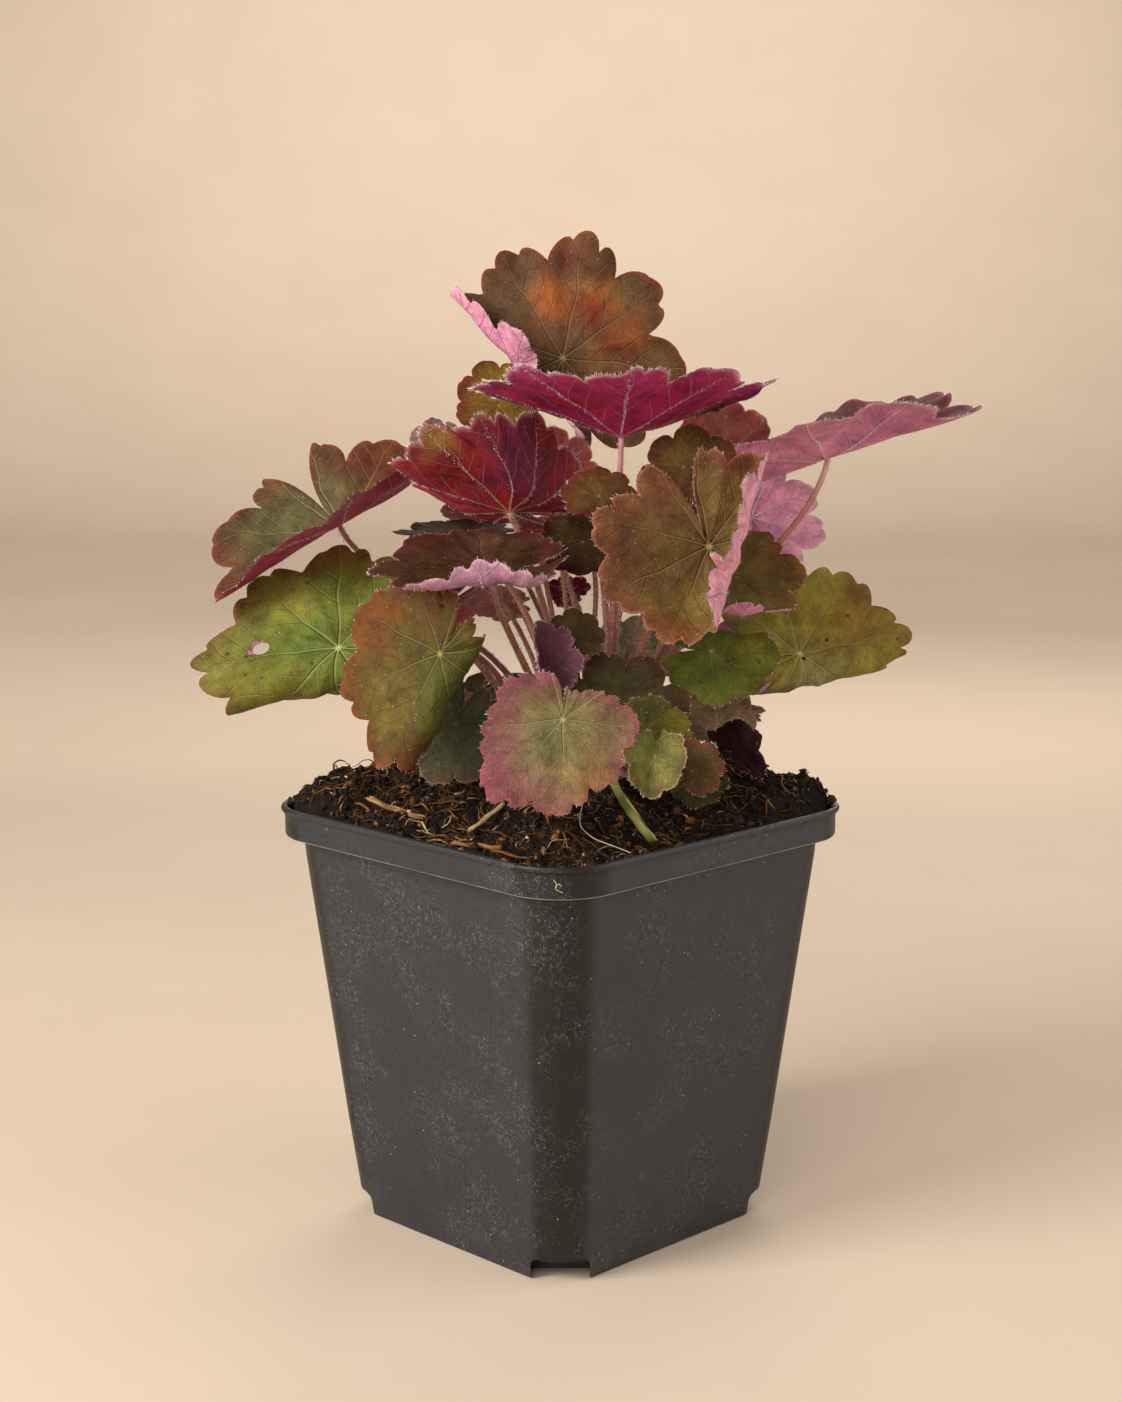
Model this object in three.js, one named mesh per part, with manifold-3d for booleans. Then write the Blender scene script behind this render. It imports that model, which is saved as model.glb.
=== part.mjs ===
// Heuchera in a square nursery pot: pot, soil, rootstock, straw and one solid for each leaf with its stalk.
// Millimetres, +Z up. The origin is the middle of the pot's foot. The pot's sides face X and Y.
import * as THREE from "three";
import { mergeVertices } from "three/addons/utils/BufferGeometryUtils.js";
import Module from "manifold-3d";

// ---- Driving dimensions ----

const POT_HEIGHT = 88;
const POT_CORNER_STEPS = 5; // straight pieces in each rounded corner
const FLOOR = 2.2;
const GAP = 0.3; // clearance between solids that touch
// Half width, corner radius and height of each level, from the foot to the lip.
const POT_OUTSIDE = [
  [32, 8, 0],
  [40.6, 9.6, 81.2],
  [44.2, 12.8, 81.6],
  [44.2, 12.8, 86.6],
  [45, 13.6, 87.1],
  [45, 13.6, POT_HEIGHT],
];
const POT_INSIDE = [
  [30.9, 6.9, FLOOR],
  [39.3, 8.4, 80.6],
  [42.8, 11.5, 82.4],
  [43.2, 11.8, POT_HEIGHT + 1],
];

// Each foot corner has a low recess run in along the diagonal, a raised patch of floor over it, and a
// drain hole through that patch. The distances out are measured along the diagonal from the pot's middle.
const NOTCH = { out: 34, half: 5.9, height: 4.8, rounding: 1.6 };
const CORNER_PAD = { out: 32, top: NOTCH.height + 1.8, width: 30 };
const DRAIN = { out: 37.6, radius: 2.2, sides: 12 };
const CORNER_DEPTH = 20; // length of the cutters, well past the corner

// Levels of the soil's flank, with the same meaning, and the shape of its mound.
const SOIL_LOW = FLOOR + GAP;
const SOIL_FLANK = [
  [30.5, 6.5, SOIL_LOW],
  [38.9, 8, 80.5],
  [42.3, 11, 82.7],
];
const SOIL_RING_SHARES = [0.985, 0.93, 0.82, 0.68, 0.52, 0.36, 0.2];
const SOIL_CORNER_STEPS = 7;
const SOIL_EDGE_LOW = 86;
const SOIL_EDGE_HIGH = 94.5;
const SOIL_MIDDLE = 96.3;
const SOIL_LUMP = 0.9;
const SOIL_SEED = 11;

// The rootstock's flat steps carry the rings of stalks: radius of the ring, edge of the step, height.
const CROWN = { x: 6, y: 0, foot: 84, neck: 12.5 };
const CROWN_STEPS = [
  { ring: 4.4, edge: 6.3, top: 99, room: 8 },
  { ring: 8.2, edge: 10.1, top: 97.6, room: 13 },
  { ring: 12, edge: 13.9, top: 96.2, room: 22 },
];
const CROWN_SIDES = 20;

// Straw and a cut stem lie in grooves in the soil. Each runs through its points [x, y, rise over the mound]
// in the plant's axes; wide and thick are its section's half sizes.
const LITTER = [
  { name: "straw_left", wide: 1.5, thick: 0.55, points: [[-39, -12, 1.4], [-33, -17, 1.3], [-27, -21, 1]],
    colour: 0xa98452 },
  { name: "straw_front", wide: 1.2, thick: 0.5, points: [[-21, -34, 0.9], [-16, -37, 1.1], [-11.5, -39.5, 1]],
    colour: 0x96703f },
  { name: "straw_pale", wide: 0.9, thick: 0.45,
    points: [[-18, -29, 1.1], [-14.5, -26.5, 1.2], [-11, -24.5, 1.3]], colour: 0xc9b184 },
  { name: "stem_cut", wide: 1.6, thick: 0.7, points: [[9, -29, 10.5], [13.5, -31, 5.4], [18.5, -33, 0.6]],
    colour: 0x8f9a4a },
];
const LITTER_STEPS = 4;
const LITTER_SIDES = 5;

const BLADE = 0.7; // thickness of a leaf blade
const STALK = { foot: 1.25, neck: 0.95 }; // radii at the ends of a leaf stalk
const SMALL_LEAF = 15; // blades shorter than this have a plainer margin and a thinner stalk
const STALK_SIDES = 6;
const STALK_SPACING = 3.1; // least distance between two stalks at the rootstock
const VIEW_TURN = Math.PI / 4; // the plant's own axes are turned this far in the pot

// ---- Leaf table ----
// at: where stalk and blade meet, in the plant's axes: x right, y back, z up from the table.
// length: from there to the tip. face: compass direction, elevation of the upper side's normal, then the
// turn of the tip from downhill, in degrees. side and base: length of the side and base lobes as a share.
// lobes: depth between two lobes as a share. sinus: half width of the gap over the stalk, in degrees.
// grow: [direction, share] of a longer or shorter part. folds: [direction, offset, angle, radius] of a
// bend line, the offset and radius as shares of the length. cone, wave: rise and ripple of the margin.
// bow: how far the middle of the stalk is moved. reach: share of the stalk that runs up into the blade.
const BRONZE = 0x5c4528;
const OLIVE = 0x5d6230;
const DARK = 0x3c3626;
const CRIMSON = 0x6e1c33;
const MAGENTA = 0x8c2a52;
const ROSE = 0xb8708c;
const TAN = 0x9c8768;

const LEAVES = [
  { name: "leaf_top_bronze", at: [0.5, 18, 179], length: 27.5, face: [-90, 12, 168], base: 0.85,
    lobes: 0.22, grow: [[80, 0.2], [-90, 0.08], [165, -0.5]], folds: [[145, 0.2, 122, 0.12]],
    bow: [5, 0, 0], colour: 0x74452a },
  { name: "leaf_high_magenta", at: [12, -15, 164.5], length: 31, face: [90, 79, 182], side: 0.95,
    base: 0.8, grow: [[120, 0.2], [0, -0.14]], cone: 0.34, colour: MAGENTA },
  { name: "leaf_right_long", at: [55, 6, 159], length: 33, face: [163, 72, 180],
    folds: [[-90, 0.05, 19, 0.2], [90, 0.05, 22, 0.2]], colour: CRIMSON },
  { name: "leaf_right_pink", at: [41.5, 31, 144.5], length: 16.5, face: [75, 20, -75], base: 0.5,
    colour: ROSE },
  { name: "leaf_crimson_fan", at: [-10, -12, 149.5], length: 27, face: [95, 58, 140], lobes: 0.12,
    folds: [[90, 0.15, 60, 0.25], [-100, 0.35, 26, 0.25]], cone: 0.28, bow: [0, 8, 0], reach: 0.18,
    colour: CRIMSON },
  { name: "leaf_olive_small", at: [-13, 21, 169], length: 10.5, face: [-90, 20, 200], bow: [0, 8, 0],
    colour: OLIVE },
  { name: "leaf_red_back_left", at: [-1.5, 12, 154.5], length: 11.5, face: [90, 20, 180],
    bow: [0, 6, 0], reach: 0.18, colour: CRIMSON },
  { name: "leaf_red_back_right", at: [35.5, 34, 157], length: 14, face: [90, 20, 180], bow: [-5, 0, 0],
    colour: CRIMSON },
  { name: "leaf_bronze_upper", at: [26, -16, 155.5], length: 12.5, face: [-90, 25, 180],
    colour: BRONZE },
  { name: "leaf_front_bronze", at: [28.5, -30, 144.5], length: 25, face: [-90, 15, 20], base: 0.8,
    grow: [[5, -0.16], [-115, 0.1]], folds: [[55, 0.14, 103, 0.1], [-10, 0.2, 35, 0.4]],
    colour: BRONZE },
  { name: "leaf_bronze_bud", at: [7.5, -23, 153.5], length: 8.5, face: [-90, 50, 180], bow: [5, 0, 0],
    colour: BRONZE },
  { name: "leaf_left_folded", at: [-46, 10, 145], length: 27, face: [-160, 62, 90], side: 0.98,
    base: 0.92, grow: [[-95, 0.2]], folds: [[180, 0.03, 40, 0.2], [0, 0.03, 20, 0.2]], bow: [0, -8, 0],
    reach: 0.18, colour: BRONZE },
  { name: "leaf_left_green", at: [-44.5, -11, 122], length: 32, face: [-110, 40, -80], side: 0.82,
    base: 0.45, grow: [[140, -0.5]], folds: [[98, 0.06, -125, 0.12]], colour: OLIVE },
  { name: "leaf_left_hanging", at: [-23, -32, 124], length: 25.5, face: [-120, 15, -25], base: 0.45,
    grow: [[90, -0.45], [140, -0.4]], folds: [[90, 0.05, -125, 0.13]], bow: [-3, 8, 0], colour: OLIVE },
  { name: "leaf_left_flat", at: [-14, -28, 140], length: 23, face: [-90, 78, -87], side: 0.82,
    lobes: 0.1, folds: [[175, 0.35, 30, 0.2], [90, 0.45, 100, 0.15], [-90, 0.2, 12, 0.3]],
    bow: [-5, 0, 0], colour: DARK },
  { name: "leaf_left_under", at: [-19.5, 11.5, 142], length: 15.5, face: [-90, 82, -88], side: 0.8,
    cone: 0.1, bow: [5, 0, 0], reach: 0.18, colour: DARK },
  { name: "leaf_low_grey", at: [-21, -14, 107], length: 13, face: [-100, 15, -20], colour: 0x3f463a },
  { name: "leaf_front_low", at: [0.5, -42, 113], length: 18.5, face: [-90, 10, 0], side: 0.8,
    base: 0.55, lobes: 0.11, grow: [[-50, 0.3], [130, -0.3], [30, -0.08], [168, -0.4]], sinus: 5,
    bow: [-5, 0, -6], reach: 0.18, colour: 0x80604c },
  { name: "leaf_low_bronze", at: [13, -19, 107.5], length: 16, face: [-90, 20, 200], base: 0.3,
    colour: DARK },
  { name: "leaf_low_olive", at: [16.5, -26, 107], length: 10.5, face: [-90, 20, 75], side: 0.8,
    base: 0.6, bow: [6, 0, -6], reach: 0.1, colour: OLIVE },
  { name: "leaf_low_folded", at: [18, -40, 105.5], length: 8.5, face: [-90, 25, -5], base: 0.6,
    bow: [-2, 0, -8], reach: 0.1, colour: OLIVE },
  { name: "leaf_low_dark", at: [25.5, -32, 101], length: 7, face: [-90, 25, 140], base: 0.5,
    bow: [5, 0, 0], reach: 0.18, colour: DARK },
  { name: "leaf_low_green", at: [27.5, -20, 97.5], length: 7, face: [-90, 35, -10], base: 0.5,
    colour: OLIVE },
  { name: "leaf_right_green", at: [50, 8, 118], length: 27, face: [-72, 35, 98], base: 0.6,
    grow: [[-145, -0.35], [-40, 0.06]], folds: [[-90, 0.05, -118, 0.14]], colour: OLIVE },
  { name: "leaf_right_dark", at: [33.5, -5, 136], length: 17, face: [-80, 45, 92],
    folds: [[-90, 0.45, 100, 0.1]], colour: DARK },
  { name: "leaf_right_inner", at: [30.5, -9, 121], length: 14, face: [-90, 35, 85],
    folds: [[90, 0.25, -100, 0.15]], colour: OLIVE },
  { name: "leaf_dried", at: [32.5, -2, 105], length: 10, face: [-90, 20, 175], side: 0.8, base: 0.4,
    colour: TAN },
  { name: "leaf_withered", at: [34.5, -10, 100.5], length: 9, face: [-90, 50, 60],
    folds: [[60, 0.15, 60, 0.2], [-100, 0.15, 70, 0.2]], wave: 0.12, colour: 0x33141c },
  { name: "leaf_middle_dark", at: [4.5, -3, 142.5], length: 10, face: [-90, 45, -90], colour: DARK },
  { name: "leaf_red_small", at: [-3, 15.5, 141], length: 7.2, face: [90, 30, 90], base: 0.5,
    bow: [0, 8, 0], colour: 0x9c2840 },
  { name: "leaf_crimson_young", at: [2.5, 24, 129], length: 6, face: [90, 40, 120], base: 0.5,
    colour: CRIMSON },
  { name: "leaf_bronze_young", at: [3, -17, 124.5], length: 7, face: [-90, 30, 185], base: 0.5,
    colour: BRONZE },
  { name: "leaf_purple_young", at: [-3, -23, 119.5], length: 10, face: [-60, 20, 175], base: 0.4,
    folds: [[90, 0.05, 60, 0.15], [-90, 0.05, 60, 0.15]], colour: 0x5c3048 },
  { name: "leaf_back_pale", at: [18.5, 24, 117], length: 13, face: [-90, 60, -90], colour: 0x80805c },
  { name: "leaf_back_rosy", at: [-12, 20, 127], length: 8, face: [90, 50, 90], colour: ROSE },
  { name: "leaf_back_grey", at: [-27, 41, 158], length: 8, face: [-90, 20, 190], bow: [0, 12, 0],
    colour: 0x6c6050 },
  { name: "leaf_pink_small", at: [-17, 30, 146], length: 9, face: [90, 60, 90], bow: [0, 10, 0],
    colour: ROSE },
  { name: "leaf_rear_low_left", at: [-18, 30, 106], length: 22, face: [115, 65, 0], colour: OLIVE },
  { name: "leaf_rear_low_right", at: [27, 40, 103], length: 22, face: [65, 65, 0], colour: OLIVE },
  { name: "leaf_rear_left", at: [-28.5, 32, 122.5], length: 24, face: [150, 50, 10], colour: OLIVE },
  { name: "leaf_rear_right", at: [37, 44, 115], length: 20, face: [40, 55, 0], bow: [0, 0, 8],
    colour: BRONZE },
  { name: "leaf_rear_upper", at: [14, 36, 145.5], length: 20, face: [100, 60, 0], colour: BRONZE },
];

// ---- Solids and meshes ----

const wasm = await Module();
wasm.setup();
const { degToRad, clamp, lerp, smoothstep } = THREE.MathUtils;

// A manifold solid from a list of Vector3 and a list of triangles.
function solidFrom(points, triangles) {
  const flat = points.flatMap((p) => [p.x, p.y, p.z]);
  return new wasm.Manifold(
    new wasm.Mesh({
      numProp: 3,
      vertProperties: new Float32Array(flat),
      triVerts: new Uint32Array(triangles.flat()),
    }),
  );
}

// A manifold solid from a closed three.js geometry.
function solidOf(geometry) {
  const bare = geometry.clone();
  bare.deleteAttribute("normal");
  bare.deleteAttribute("uv");
  const merged = mergeVertices(bare, 1e-4);
  return new wasm.Manifold(
    new wasm.Mesh({
      numProp: 3,
      vertProperties: merged.getAttribute("position").array,
      triVerts: new Uint32Array(merged.getIndex().array),
    }),
  );
}

function meshOf(name, solid, colour, roughness) {
  const made = solid.getMesh();
  const position = new Float32Array(made.numVert * 3);
  for (let i = 0; i < made.numVert; i++) {
    position.set(made.vertProperties.subarray(i * made.numProp, i * made.numProp + 3), i * 3);
  }
  const geometry = new THREE.BufferGeometry();
  geometry.setAttribute("position", new THREE.BufferAttribute(position, 3));
  geometry.setIndex(new THREE.BufferAttribute(made.triVerts, 1));
  geometry.computeVertexNormals();
  const material = new THREE.MeshStandardMaterial({ color: colour, roughness, metalness: 0 });
  const mesh = new THREE.Mesh(geometry, material);
  mesh.name = name;
  return mesh;
}

// A repeatable random number from 0 to 1 for a whole number.
function chance(seed) {
  const wide = Math.sin(seed * 127.1 + 11.7) * 43758.5453;
  return wide - Math.floor(wide);
}

// ---- Pot ----

// The points of a rounded square, counter-clockwise from the +X side.
function roundedSquare(half, radius, z, steps) {
  const points = [];
  for (let corner = 0; corner < 4; corner++) {
    const middle = new THREE.Vector2(half - radius, half - radius);
    middle.rotateAround(new THREE.Vector2(), (corner * Math.PI) / 2);
    for (let i = 0; i <= steps; i++) {
      const angle = ((corner + i / steps) * Math.PI) / 2;
      const x = middle.x + radius * Math.cos(angle);
      const y = middle.y + radius * Math.sin(angle);
      points.push(new THREE.Vector3(x, y, z));
    }
  }
  return points;
}

// A solid through rings of equally many points, from the lowest to the highest, closed by two fans.
function loftSolid(rings, lowMiddle, highMiddle) {
  const count = rings[0].length;
  const points = [...rings.flat(), lowMiddle, highMiddle];
  const low = points.length - 2;
  const high = points.length - 1;
  const last = (rings.length - 1) * count;
  const triangles = [];
  for (let i = 0; i < count; i++) {
    const next = (i + 1) % count;
    triangles.push([low, next, i]);
    for (let ring = 0; ring < last; ring += count) {
      triangles.push([ring + i, ring + next, ring + count + next]);
      triangles.push([ring + i, ring + count + next, ring + count + i]);
    }
    triangles.push([high, last + i, last + next]);
  }
  return solidFrom(points, triangles);
}

// The points of an oval round a centre, from the given axis to the next.
function ovalRing(centre, across, other, wide, high, sides) {
  return Array.from({ length: sides }, (_, i) => {
    const angle = (2 * Math.PI * i) / sides;
    return centre.clone()
      .addScaledVector(across, wide * Math.cos(angle))
      .addScaledVector(other, high * Math.sin(angle));
  });
}

function middleOf(ring) {
  return ring.reduce((sum, p) => sum.add(p), new THREE.Vector3()).divideScalar(ring.length);
}

function potLoft(levels) {
  const rings = levels.map(([half, radius, z]) => roundedSquare(half, radius, z, POT_CORNER_STEPS));
  const low = new THREE.Vector3(0, 0, levels[0][2]);
  const high = new THREE.Vector3(0, 0, levels.at(-1)[2]);
  return loftSolid(rings, low, high);
}

// The same cutter at each of the four corners, made for the diagonal of the +X side.
function atCorners(cutter) {
  const cutters = [0, 90, 180, 270].map((turn) => solidOf(cutter).rotate([0, 0, turn + 45]));
  return wasm.Manifold.union(cutters);
}

// Boxes standing across the foot corners from the given distance out to well past the corner.
function cornerBoxes(out, low, high) {
  const box = new THREE.BoxGeometry(CORNER_DEPTH, CORNER_PAD.width, high - low);
  box.translate(out + CORNER_DEPTH / 2, 0, (low + high) / 2);
  return atCorners(box);
}

// The recesses under the foot corners: low slots with rounded upper edges.
function notchCuts() {
  const { half, height, rounding } = NOTCH;
  const slot = new THREE.Shape();
  slot.moveTo(-half, -1);
  slot.lineTo(half, -1);
  slot.lineTo(half, height - rounding);
  slot.absarc(half - rounding, height - rounding, rounding, 0, Math.PI / 2);
  slot.absarc(rounding - half, height - rounding, rounding, Math.PI / 2, Math.PI);
  slot.closePath();
  const cut = new THREE.ExtrudeGeometry(slot, { depth: CORNER_DEPTH, bevelEnabled: false, curveSegments: 3 });
  cut.rotateX(Math.PI / 2);
  cut.rotateZ(Math.PI / 2);
  cut.translate(NOTCH.out, 0, 0);
  return atCorners(cut);
}

function drainCuts() {
  const hole = new THREE.CylinderGeometry(DRAIN.radius, DRAIN.radius, CORNER_PAD.top * 2, DRAIN.sides);
  hole.rotateX(Math.PI / 2);
  hole.translate(DRAIN.out, 0, CORNER_PAD.top);
  return atCorners(hole);
}

function buildPot() {
  const cavity = potLoft(POT_INSIDE).subtract(cornerBoxes(CORNER_PAD.out, 0, CORNER_PAD.top));
  const pot = potLoft(POT_OUTSIDE).subtract(cavity).subtract(notchCuts()).subtract(drainCuts());
  return meshOf("pot", pot, 0x2e2f31, 0.55);
}

// ---- Soil ----

// Height of the mound over a point of the pot, before its lumps: high at the back, low at the front corner.
function moundHeight(x, y) {
  const plain = new THREE.Vector2(x, y).rotateAround(new THREE.Vector2(), -VIEW_TURN);
  const inner = SOIL_FLANK.at(-1)[0];
  const out = Math.max(Math.abs(x), Math.abs(y)) / inner;
  const edge = lerp(SOIL_EDGE_LOW, SOIL_EDGE_HIGH, smoothstep(plain.y, -34, 14));
  const slope = lerp(SOIL_MIDDLE, edge, smoothstep(out, 0.3, 0.88));
  const rim = Math.min(slope, 87);
  return lerp(slope, rim, smoothstep(out, 0.86, 1));
}

function buildSoil() {
  const flank = SOIL_FLANK.map(([half, radius, z]) => roundedSquare(half, radius, z, SOIL_CORNER_STEPS));
  const top = flank.at(-1);
  const mound = SOIL_RING_SHARES.map((share, ring) =>
    top.map((p, i) => {
      const x = p.x * share;
      const y = p.y * share;
      const lump = SOIL_LUMP * (2 * chance(SOIL_SEED + ring * 97 + i) - 1);
      return new THREE.Vector3(x, y, Math.max(moundHeight(x, y) + lump, p.z + 0.4));
    }),
  );
  const low = new THREE.Vector3(0, 0, SOIL_LOW);
  const high = new THREE.Vector3(0, 0, SOIL_MIDDLE);
  const pads = cornerBoxes(CORNER_PAD.out - GAP, 0, CORNER_PAD.top + GAP);
  const socket = crownSolid(GAP);
  const grooves = wasm.Manifold.union(LITTER.map((piece) => litterSolid(piece, GAP)));
  const soil = loftSolid([...flank, ...mound], low, high).subtract(pads).subtract(socket).subtract(grooves);
  return meshOf("soil", soil, 0x2a1f17, 1);
}

// ---- Straw ----

// A flat straw through a piece's points, made larger all round by spare.
function litterSolid(piece, spare) {
  const curve = new THREE.CatmullRomCurve3(
    piece.points.map(([x, y, rise]) => {
      const place = new THREE.Vector2(x, y).rotateAround(new THREE.Vector2(), VIEW_TURN);
      return new THREE.Vector3(place.x, place.y, moundHeight(place.x, place.y) + rise);
    }),
  );
  const rings = [];
  for (let i = 0; i <= LITTER_STEPS; i++) {
    const share = i / LITTER_STEPS;
    const along = curve.getTangent(share);
    const side = new THREE.Vector3(0, 0, 1).cross(along).normalize();
    const up = along.clone().cross(side);
    const narrow = 1 - 0.35 * Math.abs(2 * share - 1) ** 3;
    const centre = curve.getPoint(share);
    if (i === 0) {
      centre.addScaledVector(along, -spare);
    } else if (i === LITTER_STEPS) {
      centre.addScaledVector(along, spare);
    }
    rings.push(ovalRing(centre, side, up, piece.wide * narrow + spare, piece.thick + spare, LITTER_SIDES));
  }
  return loftSolid(rings, middleOf(rings[0]), middleOf(rings.at(-1)));
}

// ---- Rootstock ----

// The stepped rootstock, made larger all round by spare, and open upwards where it is a cutter.
function crownSolid(spare) {
  const outer = CROWN_STEPS.at(-1);
  const profile = [
    new THREE.Vector2(0, CROWN.foot - spare),
    new THREE.Vector2(CROWN.neck + spare, CROWN.foot - spare),
    new THREE.Vector2(outer.edge + spare, outer.top - 4),
  ];
  if (spare > 0) {
    profile.push(new THREE.Vector2(outer.edge + spare, outer.top + 20), new THREE.Vector2(0, outer.top + 20));
  } else {
    CROWN_STEPS.toReversed().forEach(({ edge, top }, i, steps) => {
      profile.push(new THREE.Vector2(edge, top), new THREE.Vector2(steps[i + 1]?.edge ?? 0, top));
    });
  }
  const lathe = new THREE.LatheGeometry(profile, CROWN_SIDES);
  lathe.rotateX(Math.PI / 2);
  const centre = new THREE.Vector2(CROWN.x, CROWN.y).rotateAround(new THREE.Vector2(), VIEW_TURN);
  lathe.translate(centre.x, centre.y, 0);
  return solidOf(lathe);
}

function buildCrown() {
  return meshOf("crown", crownSolid(0), 0x4a3226, 0.9);
}

// Foot of each stalk: the flattest leaves take the outer step, the steepest the inner one. On each step
// the feet lie in their leaves' directions and are pushed apart until they have room.
function stalkFeet(leaves) {
  const seen = leaves.map((leaf) => {
    const x = leaf.at[0] - CROWN.x;
    const y = leaf.at[1] - CROWN.y;
    const rise = Math.atan2(leaf.at[2] - CROWN_STEPS[0].top, Math.hypot(x, y));
    return { leaf, turn: Math.atan2(y, x), rise };
  });
  seen.sort((a, b) => b.rise - a.rise);
  const feet = new Map();
  let taken = 0;
  for (const step of CROWN_STEPS) {
    const group = seen.slice(taken, taken + step.room).sort((a, b) => a.turn - b.turn);
    taken += step.room;
    const least = STALK_SPACING / step.ring;
    for (let pass = 0; pass < 400; pass++) {
      for (let i = 0; i < group.length; i++) {
        const next = group[(i + 1) % group.length];
        const wrap = i + 1 < group.length ? 0 : 2 * Math.PI;
        const short = least - (next.turn + wrap - group[i].turn);
        if (short > 0 && group.length > 1) {
          group[i].turn -= short / 2;
          next.turn += short / 2;
        }
      }
    }
    for (const { leaf, turn } of group) {
      const x = CROWN.x + step.ring * Math.cos(turn);
      const y = CROWN.y + step.ring * Math.sin(turn);
      feet.set(leaf.name, new THREE.Vector3(x, y, step.top + GAP));
    }
  }
  return feet;
}

// ---- Leaves ----

const LOBE = 42; // degrees from lobe to lobe
const SINUS = 16; // half width of the gap at the stalk, in degrees

function isSmall(leaf) {
  return leaf.length < SMALL_LEAF;
}

function neckRadius(leaf) {
  return STALK.neck * (isSmall(leaf) ? 0.8 : 1);
}

// Distance from stalk to margin as a share of the leaf's length, in the direction theta from the tip:
// an envelope, shallow lobes, three teeth on each lobe, and the narrow gap over the stalk.
function margin(theta, leaf, toothed = 1) {
  const { side = 0.88, base = 0.74, lobes = 0.17, sinus = SINUS, grow = [] } = leaf;
  const away = Math.abs(theta);
  const front = side + (1 - side) * Math.cos(Math.min(away, Math.PI / 2)) ** 3;
  const back = side - ((side - base) * (1 - Math.cos((away - Math.PI / 2) * 2))) / 2;
  const reach = away < Math.PI / 2 ? front : back;
  let swell = 1;
  for (const [direction, share] of grow) {
    const off = THREE.MathUtils.euclideanModulo(theta * THREE.MathUtils.RAD2DEG - direction + 180, 360) - 180;
    swell += share * Math.exp(-((off / 26) ** 2));
  }
  const phase = THREE.MathUtils.euclideanModulo(theta / degToRad(LOBE) + 0.5, 1) - 0.5;
  const lobe = 1 - lobes * (0.5 + 0.5 * toothed) * (1 - Math.abs(Math.cos(Math.PI * phase)) ** 0.8);
  const tooth = 1 - 0.09 * toothed * (1 - Math.abs(Math.cos(3 * Math.PI * phase)) ** 0.5);
  const open = clamp((Math.PI - away) / degToRad(sinus), 0, 1);
  return Math.max(reach * swell * lobe * tooth * open ** 0.45, (2.6 * neckRadius(leaf)) / leaf.length);
}

// Turns the part of the blade beyond a line round that line, on a given radius.
function foldPoint(point, [direction, offset, angle, radius]) {
  const dx = Math.cos(degToRad(direction));
  const dy = Math.sin(degToRad(direction));
  const sense = Math.sign(angle);
  const most = Math.abs(degToRad(angle));
  const past = point.x * dx + point.y * dy - offset;
  if (past <= 0 || angle === 0) {
    return;
  }
  const height = point.z * sense;
  const turn = clamp(past / radius, 0, most);
  const rest = Math.max(0, past - radius * most);
  const along = radius * Math.sin(turn) + rest * Math.cos(most) - height * Math.sin(turn);
  const up = radius * (1 - Math.cos(turn)) + rest * Math.sin(most) + height * Math.cos(turn);
  point.x += (along - past) * dx;
  point.y += (along - past) * dy;
  point.z = up * sense;
}

// A point of the blade's middle surface in its own axes: x to the tip, z up from the upper side.
function bladePoint(theta, share, leaf) {
  const { cone = 0, wave = 0.03, folds = [] } = leaf;
  const smooth = margin(theta, leaf, 0);
  const cut = margin(theta, leaf, isSmall(leaf) ? 0.5 : 1);
  const core = (1.1 * neckRadius(leaf)) / leaf.length;
  const reach = lerp(core, lerp(smooth, cut, share * share), share);
  const phase = THREE.MathUtils.euclideanModulo(theta / degToRad(LOBE) + 0.5, 1) - 0.5;
  const quilt = 0.02 * Math.sin(Math.PI * share) * (1 - Math.abs(Math.cos(Math.PI * phase)));
  const ripple = wave * reach * reach * Math.sin(5 * theta);
  const point = new THREE.Vector3(reach * Math.cos(theta), reach * Math.sin(theta), 0);
  point.z = cone * reach + ripple + quilt;
  folds.forEach((fold) => foldPoint(point, fold));
  return point.multiplyScalar(leaf.length);
}

// The blade's axes: to the tip, to its left seen from above, and out of its upper side.
function bladeAxes(leaf) {
  const [compass, elevation, spin] = leaf.face.map(degToRad);
  const flat = new THREE.Vector3(Math.cos(compass), Math.sin(compass), 0);
  const up = new THREE.Vector3(0, 0, 1);
  const normal = flat.clone().multiplyScalar(Math.cos(elevation)).addScaledVector(up, Math.sin(elevation));
  const downhill = flat.clone().multiplyScalar(Math.sin(elevation)).addScaledVector(up, -Math.cos(elevation));
  const across = normal.clone().cross(downhill);
  const tip = downhill.multiplyScalar(Math.cos(spin)).addScaledVector(across, Math.sin(spin));
  return { tip, left: normal.clone().cross(tip), normal };
}

// Directions of the margin's points, counter-clockwise from the gap over the stalk: a tooth's peak and
// valley in turn, or on a small leaf only its lobes.
function marginDirections(leaf) {
  const step = degToRad(isSmall(leaf) ? LOBE / 3 : LOBE / 6);
  const count = isSmall(leaf) ? 12 : 25;
  const half = Array.from({ length: count }, (_, i) => (i + 1) * step);
  return [Math.PI, ...half.map((a) => -a).reverse(), 0, ...half];
}

// Triangles of the band between two closed rings that start side by side, facing the side from which
// both rings run counter-clockwise. A ring is given by the index of its first point and its count.
function bandBetween(inner, outer) {
  const triangles = [];
  let i = 0;
  let o = 0;
  while (i < inner.count || o < outer.count) {
    const a = inner.start + (i % inner.count);
    const b = outer.start + (o % outer.count);
    if ((o + 0.5) / outer.count < (i + 0.5) / inner.count) {
      o += 1;
      triangles.push([a, b, outer.start + (o % outer.count)]);
    } else {
      i += 1;
      triangles.push([a, b, inner.start + (i % inner.count)]);
    }
  }
  return triangles;
}

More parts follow.
